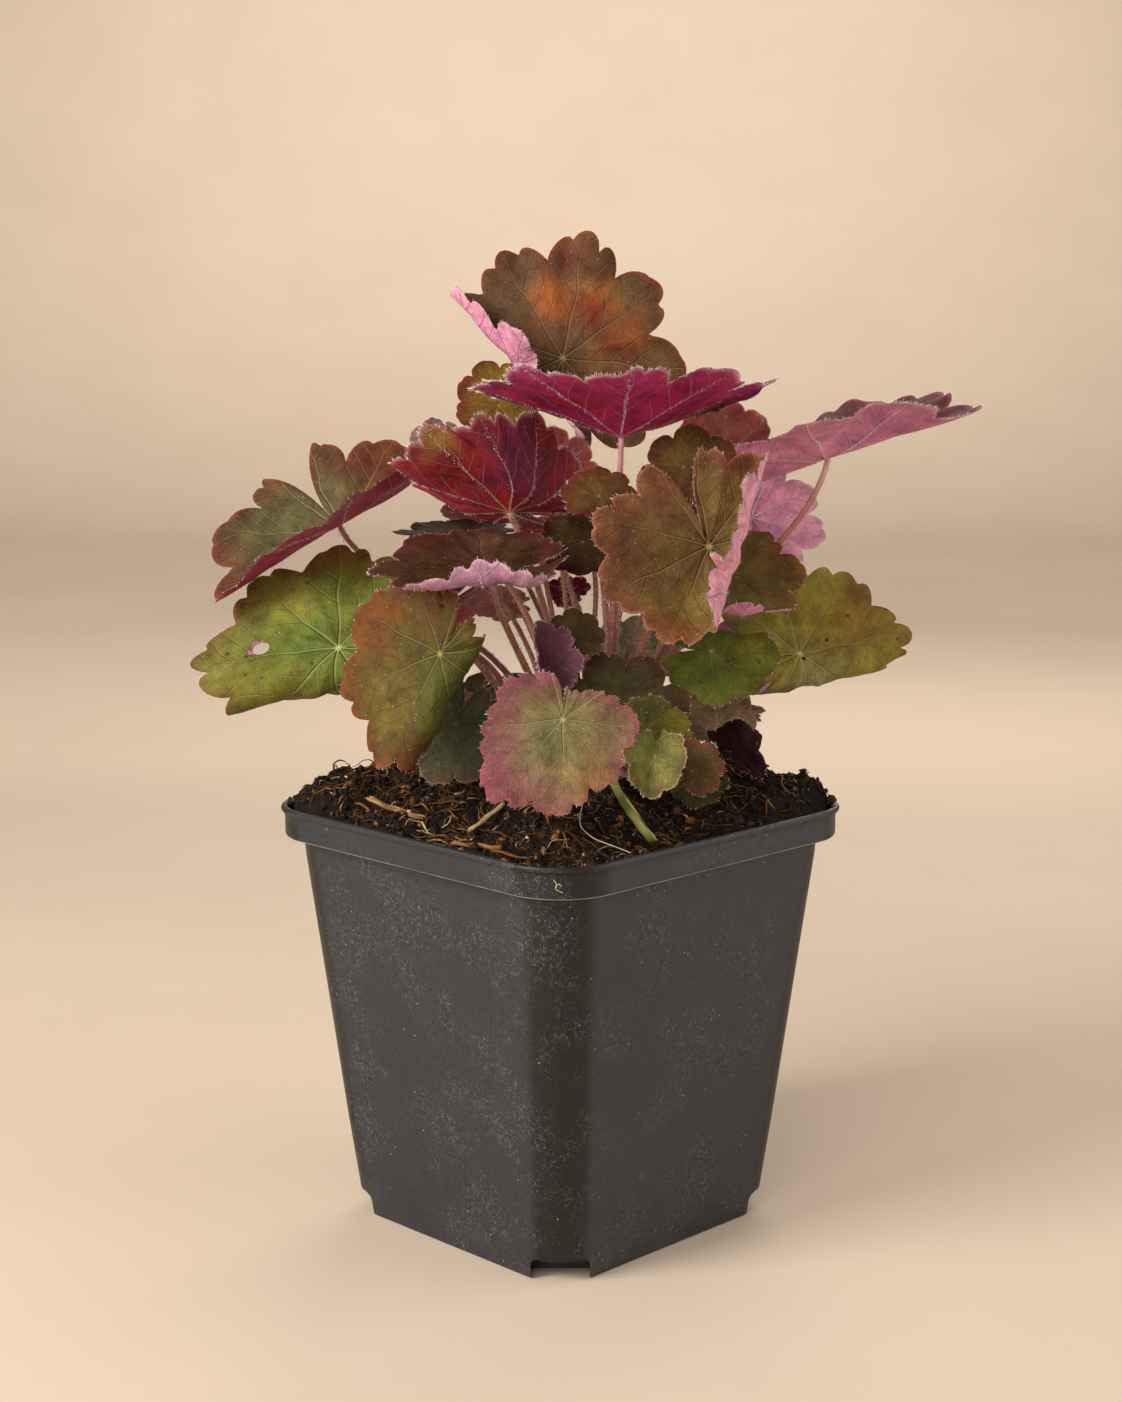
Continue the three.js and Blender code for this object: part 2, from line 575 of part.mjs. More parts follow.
// Triangles of the wall from a ring down to the one below it with as many points.
function wallBetween(upper, lower) {
  return Array.from({ length: upper.count }, (_, i) => {
    const next = (i + 1) % upper.count;
    const [a, b, c, d] = [upper.start + i, upper.start + next, lower.start + next, lower.start + i];
    return [[a, d, c], [a, c, b]];
  }).flat();
}

// Rings of points over the blade's middle surface, from the inner one to the margin.
function bladeRings(leaf) {
  const directions = marginDirections(leaf);
  const strides = isSmall(leaf) ? [2, 1] : [4, 2, 1];
  return strides.map((stride, ring) => {
    const share = (ring + 1) / strides.length;
    return directions.filter((_, i) => i % stride === 0).map((theta) => bladePoint(theta, share, leaf));
  });
}

// The curve of a stalk: straight up from its foot, outwards, and up into the blade from below.
function stalkCurve(leaf, foot, { tip, normal }) {
  const join = new THREE.Vector3(...leaf.at).addScaledVector(normal, -BLADE / 2);
  const span = join.distanceTo(foot);
  const arrive = tip.clone().multiplyScalar(0.45).addScaledVector(normal, 0.8).normalize();
  const out = join.clone().sub(foot).normalize();
  const bow = new THREE.Vector3(...(leaf.bow ?? [0, 0, 0]));
  const first = foot.clone().addScaledVector(out, span * 0.12).add(new THREE.Vector3(0, 0, span * 0.3));
  const second = join.clone().addScaledVector(arrive, -span * (leaf.reach ?? 0.3));
  return new THREE.CubicBezierCurve3(foot, first.add(bow), second.add(bow), join);
}

// Rings of the stalk from the blade's lower side down to its foot.
function stalkRings(leaf, foot, axes) {
  const curve = stalkCurve(leaf, foot, axes);
  const steps = isSmall(leaf) ? 5 : 6;
  const scale = neckRadius(leaf) / STALK.neck;
  const across = axes.tip.clone().negate();
  const rings = [];
  for (let i = 0; i <= steps; i++) {
    const share = 1 - i / steps;
    let along = curve.getTangent(share);
    if (i === 0) {
      along = axes.normal;
    } else if (i === steps) {
      along = new THREE.Vector3(0, 0, 1);
    }
    across.addScaledVector(along, -across.dot(along)).normalize();
    const other = along.clone().cross(across);
    const radius = lerp(STALK.foot, STALK.neck, share) * scale;
    rings.push(ovalRing(curve.getPoint(share), across, other, radius, radius, STALK_SIDES));
  }
  return rings;
}

// One closed skin: the blade's upper side, its margin, its lower side round the stalk, and the stalk.
function leafSolid(leaf, foot) {
  const sheetRings = bladeRings(leaf);
  const middle = [new THREE.Vector3(), ...sheetRings.flat()];
  const rings = [];
  let start = 1;
  for (const { length: count } of sheetRings) {
    rings.push({ start, count });
    start += count;
  }
  const rim = rings.at(-1);
  const upper = [];
  for (let i = 0; i < rings[0].count; i++) {
    upper.push([0, 1 + i, 1 + ((i + 1) % rings[0].count)]);
  }
  const bands = rings.slice(1).flatMap((ring, i) => bandBetween(rings[i], ring));
  upper.push(...bands);

  const sheet = new THREE.BufferGeometry().setFromPoints(middle);
  sheet.setIndex(upper.flat());
  sheet.computeVertexNormals();
  const normals = sheet.getAttribute("normal");
  const axes = bladeAxes(leaf);
  const place = new THREE.Matrix4().makeBasis(axes.tip, axes.left, axes.normal).setPosition(...leaf.at);
  const shifted = (by) =>
    middle.map((p, i) => {
      const normal = new THREE.Vector3().fromBufferAttribute(normals, i);
      return p.clone().addScaledVector(normal, by).applyMatrix4(place);
    });

  // The lower side has the same points as the upper one, but for the middle one under the stalk.
  const size = middle.length - 1;
  const below = (ring) => ({ start: ring.start + size, count: ring.count });
  const stalk = stalkRings(leaf, foot, axes);
  const points = [...shifted(BLADE / 2), ...shifted(-BLADE / 2).slice(1), ...stalk.flat(), foot];
  const tubes = stalk.map((_, i) => ({ start: 2 * size + 1 + i * STALK_SIDES, count: STALK_SIDES }));
  const lower = [
    ...bandBetween(tubes[0], below(rings[0])),
    ...bands.map((band) => band.map((i) => i + size)),
  ];
  const sole = tubes.at(-1);
  const triangles = [...upper, ...lower.map(([a, b, c]) => [a, c, b]), ...wallBetween(rim, below(rim))];
  triangles.push(...tubes.slice(1).flatMap((tube, i) => wallBetween(tubes[i], tube)));
  for (let i = 0; i < sole.count; i++) {
    triangles.push([points.length - 1, sole.start + ((i + 1) % sole.count), sole.start + i]);
  }
  return solidFrom(points, triangles);
}

// ---- The whole plant ----

const heuchera = new THREE.Group();
heuchera.add(buildPot(), buildSoil(), buildCrown());
for (const piece of LITTER) {
  heuchera.add(meshOf(piece.name, litterSolid(piece, 0), piece.colour, 0.8));
}
const plant = new THREE.Group();
plant.rotation.z = VIEW_TURN;
const feet = stalkFeet(LEAVES);
for (const leaf of LEAVES) {
  plant.add(meshOf(leaf.name, leafSolid(leaf, feet.get(leaf.name)), leaf.colour, 0.6));
}
heuchera.add(plant);

export default heuchera;
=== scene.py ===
"""Looks of a heuchera in a square nursery pot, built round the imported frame.

Lengths are millimetres in the plant's own axes, unless a name ends in _m: x to the right, y to the back, z up
from the table. The plant stands turned by VIEW_TURN in the pot, whose sides face X and Y.
"""

import logging
import math
from dataclasses import dataclass, field
from enum import Enum

import bpy
import numpy as np
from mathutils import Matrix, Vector


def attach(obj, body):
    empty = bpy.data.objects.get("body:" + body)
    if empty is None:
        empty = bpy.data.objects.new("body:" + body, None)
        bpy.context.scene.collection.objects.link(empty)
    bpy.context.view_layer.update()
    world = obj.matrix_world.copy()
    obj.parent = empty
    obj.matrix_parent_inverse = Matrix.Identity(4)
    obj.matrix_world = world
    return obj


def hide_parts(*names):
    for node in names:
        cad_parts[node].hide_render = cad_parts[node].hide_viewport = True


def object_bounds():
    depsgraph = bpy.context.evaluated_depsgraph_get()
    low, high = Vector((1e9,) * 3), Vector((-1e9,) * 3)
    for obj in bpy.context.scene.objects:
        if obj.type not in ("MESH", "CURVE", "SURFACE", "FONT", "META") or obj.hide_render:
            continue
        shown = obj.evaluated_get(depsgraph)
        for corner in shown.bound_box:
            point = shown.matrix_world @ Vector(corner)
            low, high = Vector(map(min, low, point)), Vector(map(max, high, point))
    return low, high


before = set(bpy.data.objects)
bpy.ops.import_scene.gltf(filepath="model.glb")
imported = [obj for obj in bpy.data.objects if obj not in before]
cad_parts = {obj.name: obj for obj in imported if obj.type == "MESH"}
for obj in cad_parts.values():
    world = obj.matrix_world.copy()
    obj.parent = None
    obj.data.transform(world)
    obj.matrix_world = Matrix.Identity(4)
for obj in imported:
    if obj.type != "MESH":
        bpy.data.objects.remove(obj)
cad_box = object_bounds()

LOG = logging.getLogger("heuchera")
MM = 0.001
TAU = 2 * math.pi
UP = np.array([0.0, 0.0, 1.0])
VIEW_TURN = math.pi / 4

# Leaves: the angle between main veins, one leaf length on the flat map, a stalk's radius at the blade and at
# its foot, half the thickness of a blade, the length under which a leaf is a small one, the shares of the
# stalk's radius that its skin and its hairs' feet take, and the hairs on a millimetre of leaf or stalk.
LOBE = math.radians(42)
PLAN_SHARE = 0.36
NECK, FOOT = 0.95, 1.25
BLADE_HALF = 0.17
SMALL_LEAF = 15.0
STALK_SLIM, STALK_HAIR_ROOT = 0.62, 0.6
MARGIN_HAIRS, VEIN_HAIRS, STALK_HAIRS = 34, 18, 9

# Rootstock: its middle, and each ring of stalks with its radius, its height and how many it has room for.
CROWN_X, CROWN_Y = 6.0, 0.0
CROWN_STEPS = ((4.4, 99.0, 8), (8.2, 97.6, 13), (12.0, 96.2, 22))
STALK_SPACING = 3.1

# Soil: half its width, and its heights in the middle, at the front edge, more at the back edge, at the wall.
HEAP_HALF = 42.3
HEAP_TOP, FRONT_EDGE, EDGE_RISE, WALL_TOP = 96.3, 86.0, 8.5, 87.0


class Part(Enum):
    """Where on a leaf a hair grows."""

    MARGIN = "margin"
    VEIN = "vein"
    STALK = "stalk"


# ---- Small tools ----


def linear(code: str) -> np.ndarray:
    """The linear red, green and blue of a six-digit colour."""
    shown = np.array([int(code[i : i + 2], 16) for i in (0, 2, 4)]) / 255
    return np.where(shown <= 0.04045, shown / 12.92, ((shown + 0.055) / 1.055) ** 2.4)


def rgba(code: str) -> tuple[float, float, float, float]:
    """A six-digit colour as a socket's value."""
    return (*(float(v) for v in linear(code)), 1.0)


def unit(vectors: np.ndarray) -> np.ndarray:
    """The vectors, each made one long."""
    return vectors / np.maximum(np.linalg.norm(vectors, axis=-1, keepdims=True), 1e-9)


def smoothstep(values: np.ndarray, low: float, high: float) -> np.ndarray:
    """0 below low, 1 above high, and a smooth step between."""
    share = np.clip((values - low) / (high - low), 0, 1)
    return share * share * (3 - 2 * share)


def turned(points: np.ndarray, angle: float = VIEW_TURN) -> np.ndarray:
    """The points turned about Z, by default from the plant's axes to the pot's."""
    c, s = math.cos(angle), math.sin(angle)
    x, y, z = points[..., 0], points[..., 1], points[..., 2]
    return np.stack([x * c - y * s, x * s + y * c, z], axis=-1)


def circle(angles: np.ndarray) -> np.ndarray:
    """The points at some angles of a circle with a radius of one."""
    return np.stack([np.cos(angles), np.sin(angles)], axis=-1)


def placed(name: str, data: bpy.types.ID) -> bpy.types.Object:
    """A new object in the scene."""
    thing = bpy.data.objects.new(name, data)
    bpy.context.scene.collection.objects.link(thing)
    return thing


def aimed(name: str, data: bpy.types.ID, place_m: np.ndarray, way: np.ndarray) -> bpy.types.Object:
    """A new camera or lamp that looks in a direction."""
    thing = placed(name, data)
    thing.location = place_m
    thing.rotation_mode = "QUATERNION"
    thing.rotation_quaternion = Vector(way).to_track_quat("-Z", "Y")
    return thing


class Lattice:
    """Smooth noise: seeded random values on a square lattice, blended between their four neighbours."""

    def __init__(self, seed: int, size: int = 64) -> None:
        self.size = size
        self.values = np.random.default_rng(seed).random((size, size))

    def at(self, x: np.ndarray, y: np.ndarray) -> np.ndarray:
        """The noise from -1 to 1 at points in lattice steps."""
        column, row = np.floor(x).astype(int), np.floor(y).astype(int)
        u, v = x - column, y - row
        u, v = u * u * (3 - 2 * u), v * v * (3 - 2 * v)
        a = self.values[column % self.size, row % self.size]
        b = self.values[(column + 1) % self.size, row % self.size]
        c = self.values[column % self.size, (row + 1) % self.size]
        d = self.values[(column + 1) % self.size, (row + 1) % self.size]
        return 2 * ((a * (1 - u) + b * u) * (1 - v) + (c * (1 - u) + d * u) * v) - 1

    def layered(self, x: np.ndarray, y: np.ndarray, step: float, layers: int) -> np.ndarray:
        """The sum of several layers of noise, each twice as fine and half as high as the one before."""
        total = np.zeros_like(x)
        for layer in range(layers):
            scale = 2**layer / step
            total += self.at(x * scale + 17.3 * layer, y * scale + 5.9 * layer) / 2**layer
        return total


# ---- Faces ----


def ring_quads(rings: int, around: int) -> np.ndarray:
    """The quads between rings of points that are numbered ring by ring."""
    ring, side = np.meshgrid(np.arange(rings - 1), np.arange(around), indexing="ij")
    a, b = ring * around + side, ring * around + (side + 1) % around
    return np.stack([a, b, b + around, a + around], axis=-1).reshape(-1, 4)


def ring_fan(centre: int, first: int, around: int) -> np.ndarray:
    """The triangles from a centre point to the ring that starts with point number first."""
    side = np.arange(around)
    return np.stack([np.full(around, centre), first + side, first + (side + 1) % around], axis=-1)


def closed_rings(rings: int, around: int) -> tuple[np.ndarray, np.ndarray]:
    """The quads and tris through rings, with a fan at each end to the two points that follow the rings."""
    count = rings * around
    low = ring_fan(count, 0, around)[:, [0, 2, 1]]
    high = ring_fan(count + 1, count - around, around)
    return ring_quads(rings, around), np.concatenate([low, high])


ATTRIBUTES = {
    "tint": ("FLOAT_COLOR", "color", 4),
    "vein": ("FLOAT_COLOR", "color", 4),
    "side": ("FLOAT", "value", 1),
    "spots": ("FLOAT", "value", 1),
}


@dataclass
class Skin:
    """Faces with values for each point, in the pot's axes.

    tint is a linear colour, vein a linear colour with its strength, side 1 on a blade's
    upper side and -1 below, spots how dark its spots are, and plan the place on the flat map. slots holds
    the number of each face's material, quads first. One value stands for all the points or faces.
    """

    points: np.ndarray
    quads: np.ndarray = field(default_factory=lambda: np.zeros((0, 4), int))
    tris: np.ndarray = field(default_factory=lambda: np.zeros((0, 3), int))
    tint: np.ndarray | float = 1.0
    plan: np.ndarray | float = 0.0
    vein: np.ndarray | float = 0.0
    side: np.ndarray | float = 0.0
    spots: np.ndarray | float = 0.0
    slots: np.ndarray | int = 0

    def __post_init__(self) -> None:
        """Gives each point and face its values."""
        count, faces = len(self.points), len(self.quads) + len(self.tris)
        self.tint = np.broadcast_to(self.tint, (count, 3))
        self.plan = np.broadcast_to(self.plan, (count, 2))
        self.vein = np.broadcast_to(self.vein, (count, 4))
        self.side = np.broadcast_to(self.side, (count,))
        self.spots = np.broadcast_to(self.spots, (count,))
        self.slots = np.broadcast_to(self.slots, (faces,))

    @staticmethod
    def joined(parts: list["Skin"]) -> "Skin":
        """All the parts as one skin, quads first in the order of the parts."""
        starts = np.cumsum([0] + [len(p.points) for p in parts[:-1]])
        quad_slots = [p.slots[: len(p.quads)] for p in parts]
        tri_slots = [p.slots[len(p.quads) :] for p in parts]
        names = ("points", "plan", *ATTRIBUTES)
        return Skin(
            quads=np.concatenate([p.quads + s for p, s in zip(parts, starts)]),
            tris=np.concatenate([p.tris + s for p, s in zip(parts, starts)]),
            slots=np.concatenate(quad_slots + tri_slots),
            **{name: np.concatenate([getattr(p, name) for p in parts]) for name in names},
        )

    def piece(
        self, name: str, materials: list[bpy.types.Material], slot: str, smooth: bool = True
    ) -> bpy.types.Object:
        """Makes the skin an object that rides on the root body.

        Args:
            name: The object's name.
            materials: The materials that the faces' slots number.
            slot: The record's material slot; not used.
            smooth: Whether the faces are shaded as one curved surface.

        Returns:
            The object.
        """
        places = np.clip(self.points * MM, *(np.array(corner) for corner in cad_box))
        mesh = bpy.data.meshes.new(name)
        corners = np.concatenate([self.quads.ravel(), self.tris.ravel()])
        quads, tris = len(self.quads), len(self.tris)
        starts = np.concatenate([np.arange(quads) * 4, quads * 4 + np.arange(tris) * 3])
        mesh.vertices.add(len(places))
        mesh.vertices.foreach_set("co", places.astype(np.float32).ravel())
        mesh.loops.add(len(corners))
        mesh.loops.foreach_set("vertex_index", corners.astype(np.int32))
        mesh.polygons.add(quads + tris)
        mesh.polygons.foreach_set("loop_start", starts.astype(np.int32))
        mesh.polygons.foreach_set("material_index", self.slots.astype(np.int32))
        mesh.update(calc_edges=True)
        values = {label: getattr(self, label) for label in ATTRIBUTES}
        values["tint"] = np.column_stack([self.tint, np.ones(len(places))])
        for label, (kind, value, _) in ATTRIBUTES.items():
            made = mesh.attributes.new(label, kind, "POINT")
            made.data.foreach_set(value, values[label].astype(np.float32).ravel())
        layer = mesh.uv_layers.new(name="plan")
        layer.uv.foreach_set("vector", self.plan[corners].astype(np.float32).ravel())
        if smooth:
            mesh.shade_smooth()
        for material in materials:
            mesh.materials.append(material)
        thing = placed(name, mesh)
        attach(thing, "root")
        LOG.info("%s: %d faces", name, quads + tris)
        return thing


def tube(
    path: np.ndarray,
    wide: np.ndarray,
    thick: np.ndarray,
    sides: int,
    first_across: np.ndarray,
    tints: np.ndarray,
    slot: int = 0,
) -> Skin:
    """A closed tube along a path.

    At each path point an oval ring stands square to the path: the first axis is carried along from
    first_across, the second is the path's direction crossed with it. A point at each end closes it.

    Args:
        path: The middle line's points.
        wide: Half width at each path point.
        thick: Half thickness at each path point.
        sides: Points in a ring.
        first_across: The direction of the width at the start.
        tints: Linear colour at each path point.
        slot: Material number.

    Returns:
        The tube's skin, with the plan running round it and along it.
    """
    along = unit(np.gradient(path, axis=0))
    across = np.empty_like(path)
    carried = np.asarray(first_across, float)
    for i, way in enumerate(along):
        carried = unit(carried - way * (carried @ way))
        across[i] = carried
    other = np.cross(along, across)
    turn = np.arange(sides) * TAU / sides
    around = (
        path[:, None]
        + across[:, None] * (wide[:, None] * np.cos(turn))[..., None]
        + other[:, None] * (thick[:, None] * np.sin(turn))[..., None]
    )
    points = np.concatenate([around.reshape(-1, 3), path[:1], path[-1:]])
    length = np.concatenate([[0], np.cumsum(np.linalg.norm(np.diff(path, axis=0), axis=1))]) * 0.02
    plan = np.stack(np.broadcast_arrays(np.sin(turn)[None] * 0.5 + 0.5, length[:, None]), axis=-1)
    plan = np.concatenate([plan.reshape(-1, 2), [[0.5, 0.0], [0.5, length[-1]]]])
    tints = np.concatenate([np.repeat(tints, sides, axis=0), tints[:1], tints[-1:]])
    return Skin(points, *closed_rings(len(path), sides), tints, plan, slots=slot)


def spikes(
    roots: np.ndarray, ways: np.ndarray, lengths: np.ndarray, radius: float, tint: np.ndarray
) -> Skin:
    """Fine hairs as three-sided spikes with their feet a little inside what they grow from.

    Args:
        roots: Places of the feet.
        ways: Directions, one long.
        lengths: Lengths.
        radius: Half thickness at the foot.
        tint: Linear colour.

    Returns:
        The skin of all the hairs.
    """
    sunk = 0.08
    helper = np.where(np.abs(ways[:, 2:3]) > 0.9, [[1.0, 0.0, 0.0]], [[0.0, 0.0, 1.0]])
    across = unit(np.cross(ways, helper))
    other = np.cross(ways, across)
    turns = np.arange(3)[:, None] * TAU / 3
    foot = (roots - ways * sunk)[:, None]
    feet = foot + radius * (across[:, None] * np.cos(turns) + other[:, None] * np.sin(turns))
    tips = (roots + ways * lengths[:, None])[:, None]
    points = np.concatenate([feet, tips], axis=1).reshape(-1, 3)
    start = (np.arange(len(roots)) * 4)[:, None, None]
    tris = (start + np.array([[0, 1, 3], [1, 2, 3], [2, 0, 3], [2, 1, 0]])).reshape(-1, 3)
    return Skin(points, tris=tris, tint=tint)


# ---- Materials ----


class Value:
    """A node's output that can be reckoned with: each sum adds a node to the graph."""

    def __init__(self, graph: "Graph", socket: bpy.types.NodeSocket) -> None:
        self.graph, self.socket = graph, socket

    def __add__(self, other: object) -> "Value":
        """The sum."""
        return self.graph.math("ADD", self, other)

    def __sub__(self, other: object) -> "Value":
        """The difference."""
        return self.graph.math("SUBTRACT", self, other)

    def __rsub__(self, other: object) -> "Value":
        """The difference from a number."""
        return self.graph.math("SUBTRACT", other, self)

    def __mul__(self, other: object) -> "Value":
        """The product."""
        return self.graph.math("MULTIPLY", self, other)

    def __truediv__(self, other: object) -> "Value":
        """The quotient."""
        return self.graph.math("DIVIDE", self, other)

    def __abs__(self) -> "Value":
        """The size without the sign."""
        return self.graph.math("ABSOLUTE", self)


class Graph:
    """Short calls for the nodes of one material."""

    def __init__(self, name: str) -> None:
        self.material = bpy.data.materials.new(name)
        self.material.use_nodes = True
        self.tree = self.material.node_tree
        self.tree.nodes.clear()

    def node(self, kind: str, inputs: dict, output: int | str = 0, **settings: object) -> Value:
        """Adds a node.

        Args:
            kind: The node's type without its first word.
            inputs: A value, or another node's output, for each input by name or number.
            output: Name or number of the output.
            **settings: The node's own settings.

        Returns:
            The output.
        """
        made = self.tree.nodes.new(f"ShaderNode{kind}")
        for name, value in settings.items():
            setattr(made, name, value)
        for name, value in inputs.items():
            if isinstance(value, Value):
                self.tree.links.new(value.socket, made.inputs[name])
            else:
                made.inputs[name].default_value = value
        return Value(self, made.outputs[output])

    def math(self, operation: str, *values: object) -> Value:
        """The result of one sum."""
        return self.node("Math", dict(enumerate(values)), operation=operation)

    def highest(self, first: Value, *others: Value) -> Value:
        """The largest of some values."""
        for other in others:
            first = self.math("MAXIMUM", first, other)
        return first

    def step(self, value: Value, low: object, high: object) -> Value:
        """0 at low, 1 at high, with a smooth step between."""
        inputs = {"Value": value, "From Min": low, "From Max": high}
        return self.node("MapRange", inputs, interpolation_type="SMOOTHSTEP")

    def mix(self, share: object, first: object, second: object) -> Value:
        """Two colours blended."""
        return self.node("Mix", {0: share, 6: first, 7: second}, 2, data_type="RGBA")

    def place(self) -> Value:
        """Object coordinates."""
        return self.node("TexCoord", {}, "Object")

    def plan(self) -> Value:
        """The flat map of the piece."""
        return self.node("UVMap", {}, uv_map="plan")

    def axes(self, vector: Value) -> tuple[Value, Value, Value]:
        """A vector's coordinates."""
        return tuple(self.node("SeparateXYZ", {0: vector}, axis) for axis in range(3))

    def noise(self, vector: Value, scale: float, detail: float = 3.0, rough: float = 0.55) -> Value:
        """Cloudy noise from 0 to 1."""
        inputs = {"Vector": vector, "Scale": scale, "Detail": detail, "Roughness": rough}
        return self.node("TexNoise", inputs)

    def streaks(self, stretch: tuple[float, float, float], scale: float, detail: float) -> Value:
        """Noise on the flat map, drawn out into streaks."""
        return self.noise(self.node("Mapping", {"Vector": self.plan(), "Scale": stretch}), scale, detail)

    def dots(self, vector: Value, scale: float, size: float, share: float) -> Value:
        """Scattered round dots: 1 inside, in that share of the cells of a cell pattern."""
        inputs = {"Vector": vector, "Scale": scale}
        near = self.step(self.node("TexVoronoi", inputs, "Distance"), size, size * 0.6)
        drawn = self.node("SeparateColor", {0: self.node("TexVoronoi", inputs, "Color")})
        return near * self.math("LESS_THAN", drawn, share)

    def attribute(self, name: str, output: str = "Color") -> Value:
        """A value that the points hold."""
        return self.node("Attribute", {}, output, attribute_name=name)

    def shaded(self, light: Value, colour: Value | None = None, **more: object) -> Value:
        """The points' tint or another colour, made lighter or darker."""
        inputs = {"Color": colour or self.attribute("tint"), "Value": light, **more}
        return self.node("HueSaturation", inputs)

    def bump(self, height: Value, distance_m: float, strength: float = 1.0) -> Value:
        """A normal from a height from 0 to 1."""
        return self.node("Bump", {"Strength": strength, "Distance": distance_m, "Height": height})

    def finish(
        self, colour: Value, rough: object, normal: Value | None = None, gloss: float = 0.5
    ) -> bpy.types.Material:
        """Ends the material in its surface.

        Args:
            colour: Base colour.
            rough: Roughness.
            normal: Normal from bump, if any.
            gloss: How strongly the surface reflects.

        Returns:
            The material.
        """
        inputs = {"Base Color": colour, "Roughness": rough, "Specular IOR Level": gloss}
        if normal:
            inputs["Normal"] = normal
        surface = self.node("BsdfPrincipled", inputs)
        out = self.tree.nodes.new("ShaderNodeOutputMaterial")
        self.tree.links.new(surface.socket, out.inputs["Surface"])
        return self.material


@dataclass(frozen=True)
class BladeFinish:
    """A leaf blade: palmate veins with herringbone side veins and a net, mottling, specks and dark spots.

    Main veins run out at the middle of each lobe. Side veins leave them at about 45 degrees, in turn on
    either side. The net is the edges of a cell pattern.
    """

    vein_half: float = 0.010
    side_veins: float = 6.4
    net_scale: float = 34.0
    speck: str = "e6d8c4"
    spot: str = "1c120c"
    relief_m: float = 0.0006

    def make(self) -> bpy.types.Material:
        """The blade's material."""
        g = Graph("leaf_blade")
        plan, place = g.plan(), g.place()
        x, y, _ = ((axis - 0.5) / PLAN_SHARE for axis in g.axes(plan))
        theta = g.math("ARCTAN2", y, x) + (g.noise(plan, 7.0, 1.0) - 0.5) * 0.22
        out = g.math("SQRT", x * x + y * y)
        phase = g.math("WRAP", theta / LOBE, 0.5, -0.5)
        along = out * g.math("COSINE", phase * LOBE)
        across = abs(out * g.math("SINE", phase * LOBE))
        half = (1 - out * 0.75) * self.vein_half
        main = g.step(across, half * 1.5, half * 0.5)
        turn = g.math("SIGN", phase) * 0.25 + g.noise(plan, 3.0, 1.0)
        rung = abs(g.math("WRAP", (along - across) * self.side_veins + turn, 0.5, -0.5))
        second = g.step(rung, 0.065, 0.02) * g.step(out, 0.12, 0.3)
        swim = g.node("TexNoise", {"Vector": plan, "Scale": 26.0}, "Color")
        bent = g.node("Mix", {0: 0.035, 4: plan, 5: swim}, 1, data_type="VECTOR")
        cells = {"Vector": bent, "Scale": self.net_scale}
        net = g.step(g.node("TexVoronoi", cells, feature="DISTANCE_TO_EDGE"), 0.07, 0.0)
        relief = g.highest(main, second * 0.6, net * 0.14)
        shown = g.highest(main, second * 0.5, net * 0.1)

        clouds = g.noise(place, 190.0, 6.0, 0.68)
        grain = g.noise(place, 1500.0, 2.0)
        light = (clouds * 2.3 - 0.18 + (grain - 0.5) * 0.6) * (1.01 - net * 0.06)
        ground = g.shaded(light, Hue=g.noise(place, 95.0, 2.0) * 0.085 + 0.4575, Saturation=1.02)
        veined = g.mix(shown * g.attribute("vein", "Alpha"), ground, g.attribute("vein"))
        spots = g.dots(place, 260.0, 0.16, 0.3) * g.attribute("spots", "Fac")
        specks = g.dots(place, 1050.0, 0.14, 0.3) * 0.55
        colour = g.mix(specks, g.mix(spots, veined, rgba(self.spot)), rgba(self.speck))
        height = (1 - relief) * g.attribute("side", "Fac") + clouds * 0.5 + specks * 0.35
        return g.finish(colour, clouds * 0.3 + 0.48, g.bump(height, self.relief_m, 0.8), gloss=0.16)


@dataclass(frozen=True)
class StalkFinish:
    """A leaf stalk: long fine streaks, pale specks and a soft gloss."""

    speck: str = "d9b9ae"

    def make(self) -> bpy.types.Material:
        """The stalk's material."""
        g = Graph("leaf_stalk")
        place = g.place()
        streak = g.streaks((9.0, 3.0, 1.0), 2.0, 3.0)
        clouds = g.noise(place, 260.0, 2.0)
        specks = g.dots(place, 900.0, 0.2, 0.35)
        colour = g.mix(specks * 0.55, g.shaded((streak + clouds) * 0.75 + 0.28), rgba(self.speck))
        return g.finish(colour, clouds * 0.25 + 0.3, g.bump(streak + specks, 0.0002, 0.7))


@dataclass(frozen=True)
class HairFinish:
    """Pale hairs."""

    colour: str = "e9dcd2"

    def make(self) -> bpy.types.Material:
        """The hairs' material, half tinted by their points."""
        g = Graph("plant_hair")
        return g.finish(g.mix(0.5, g.attribute("tint"), rgba(self.colour)), 0.5, gloss=0.3)


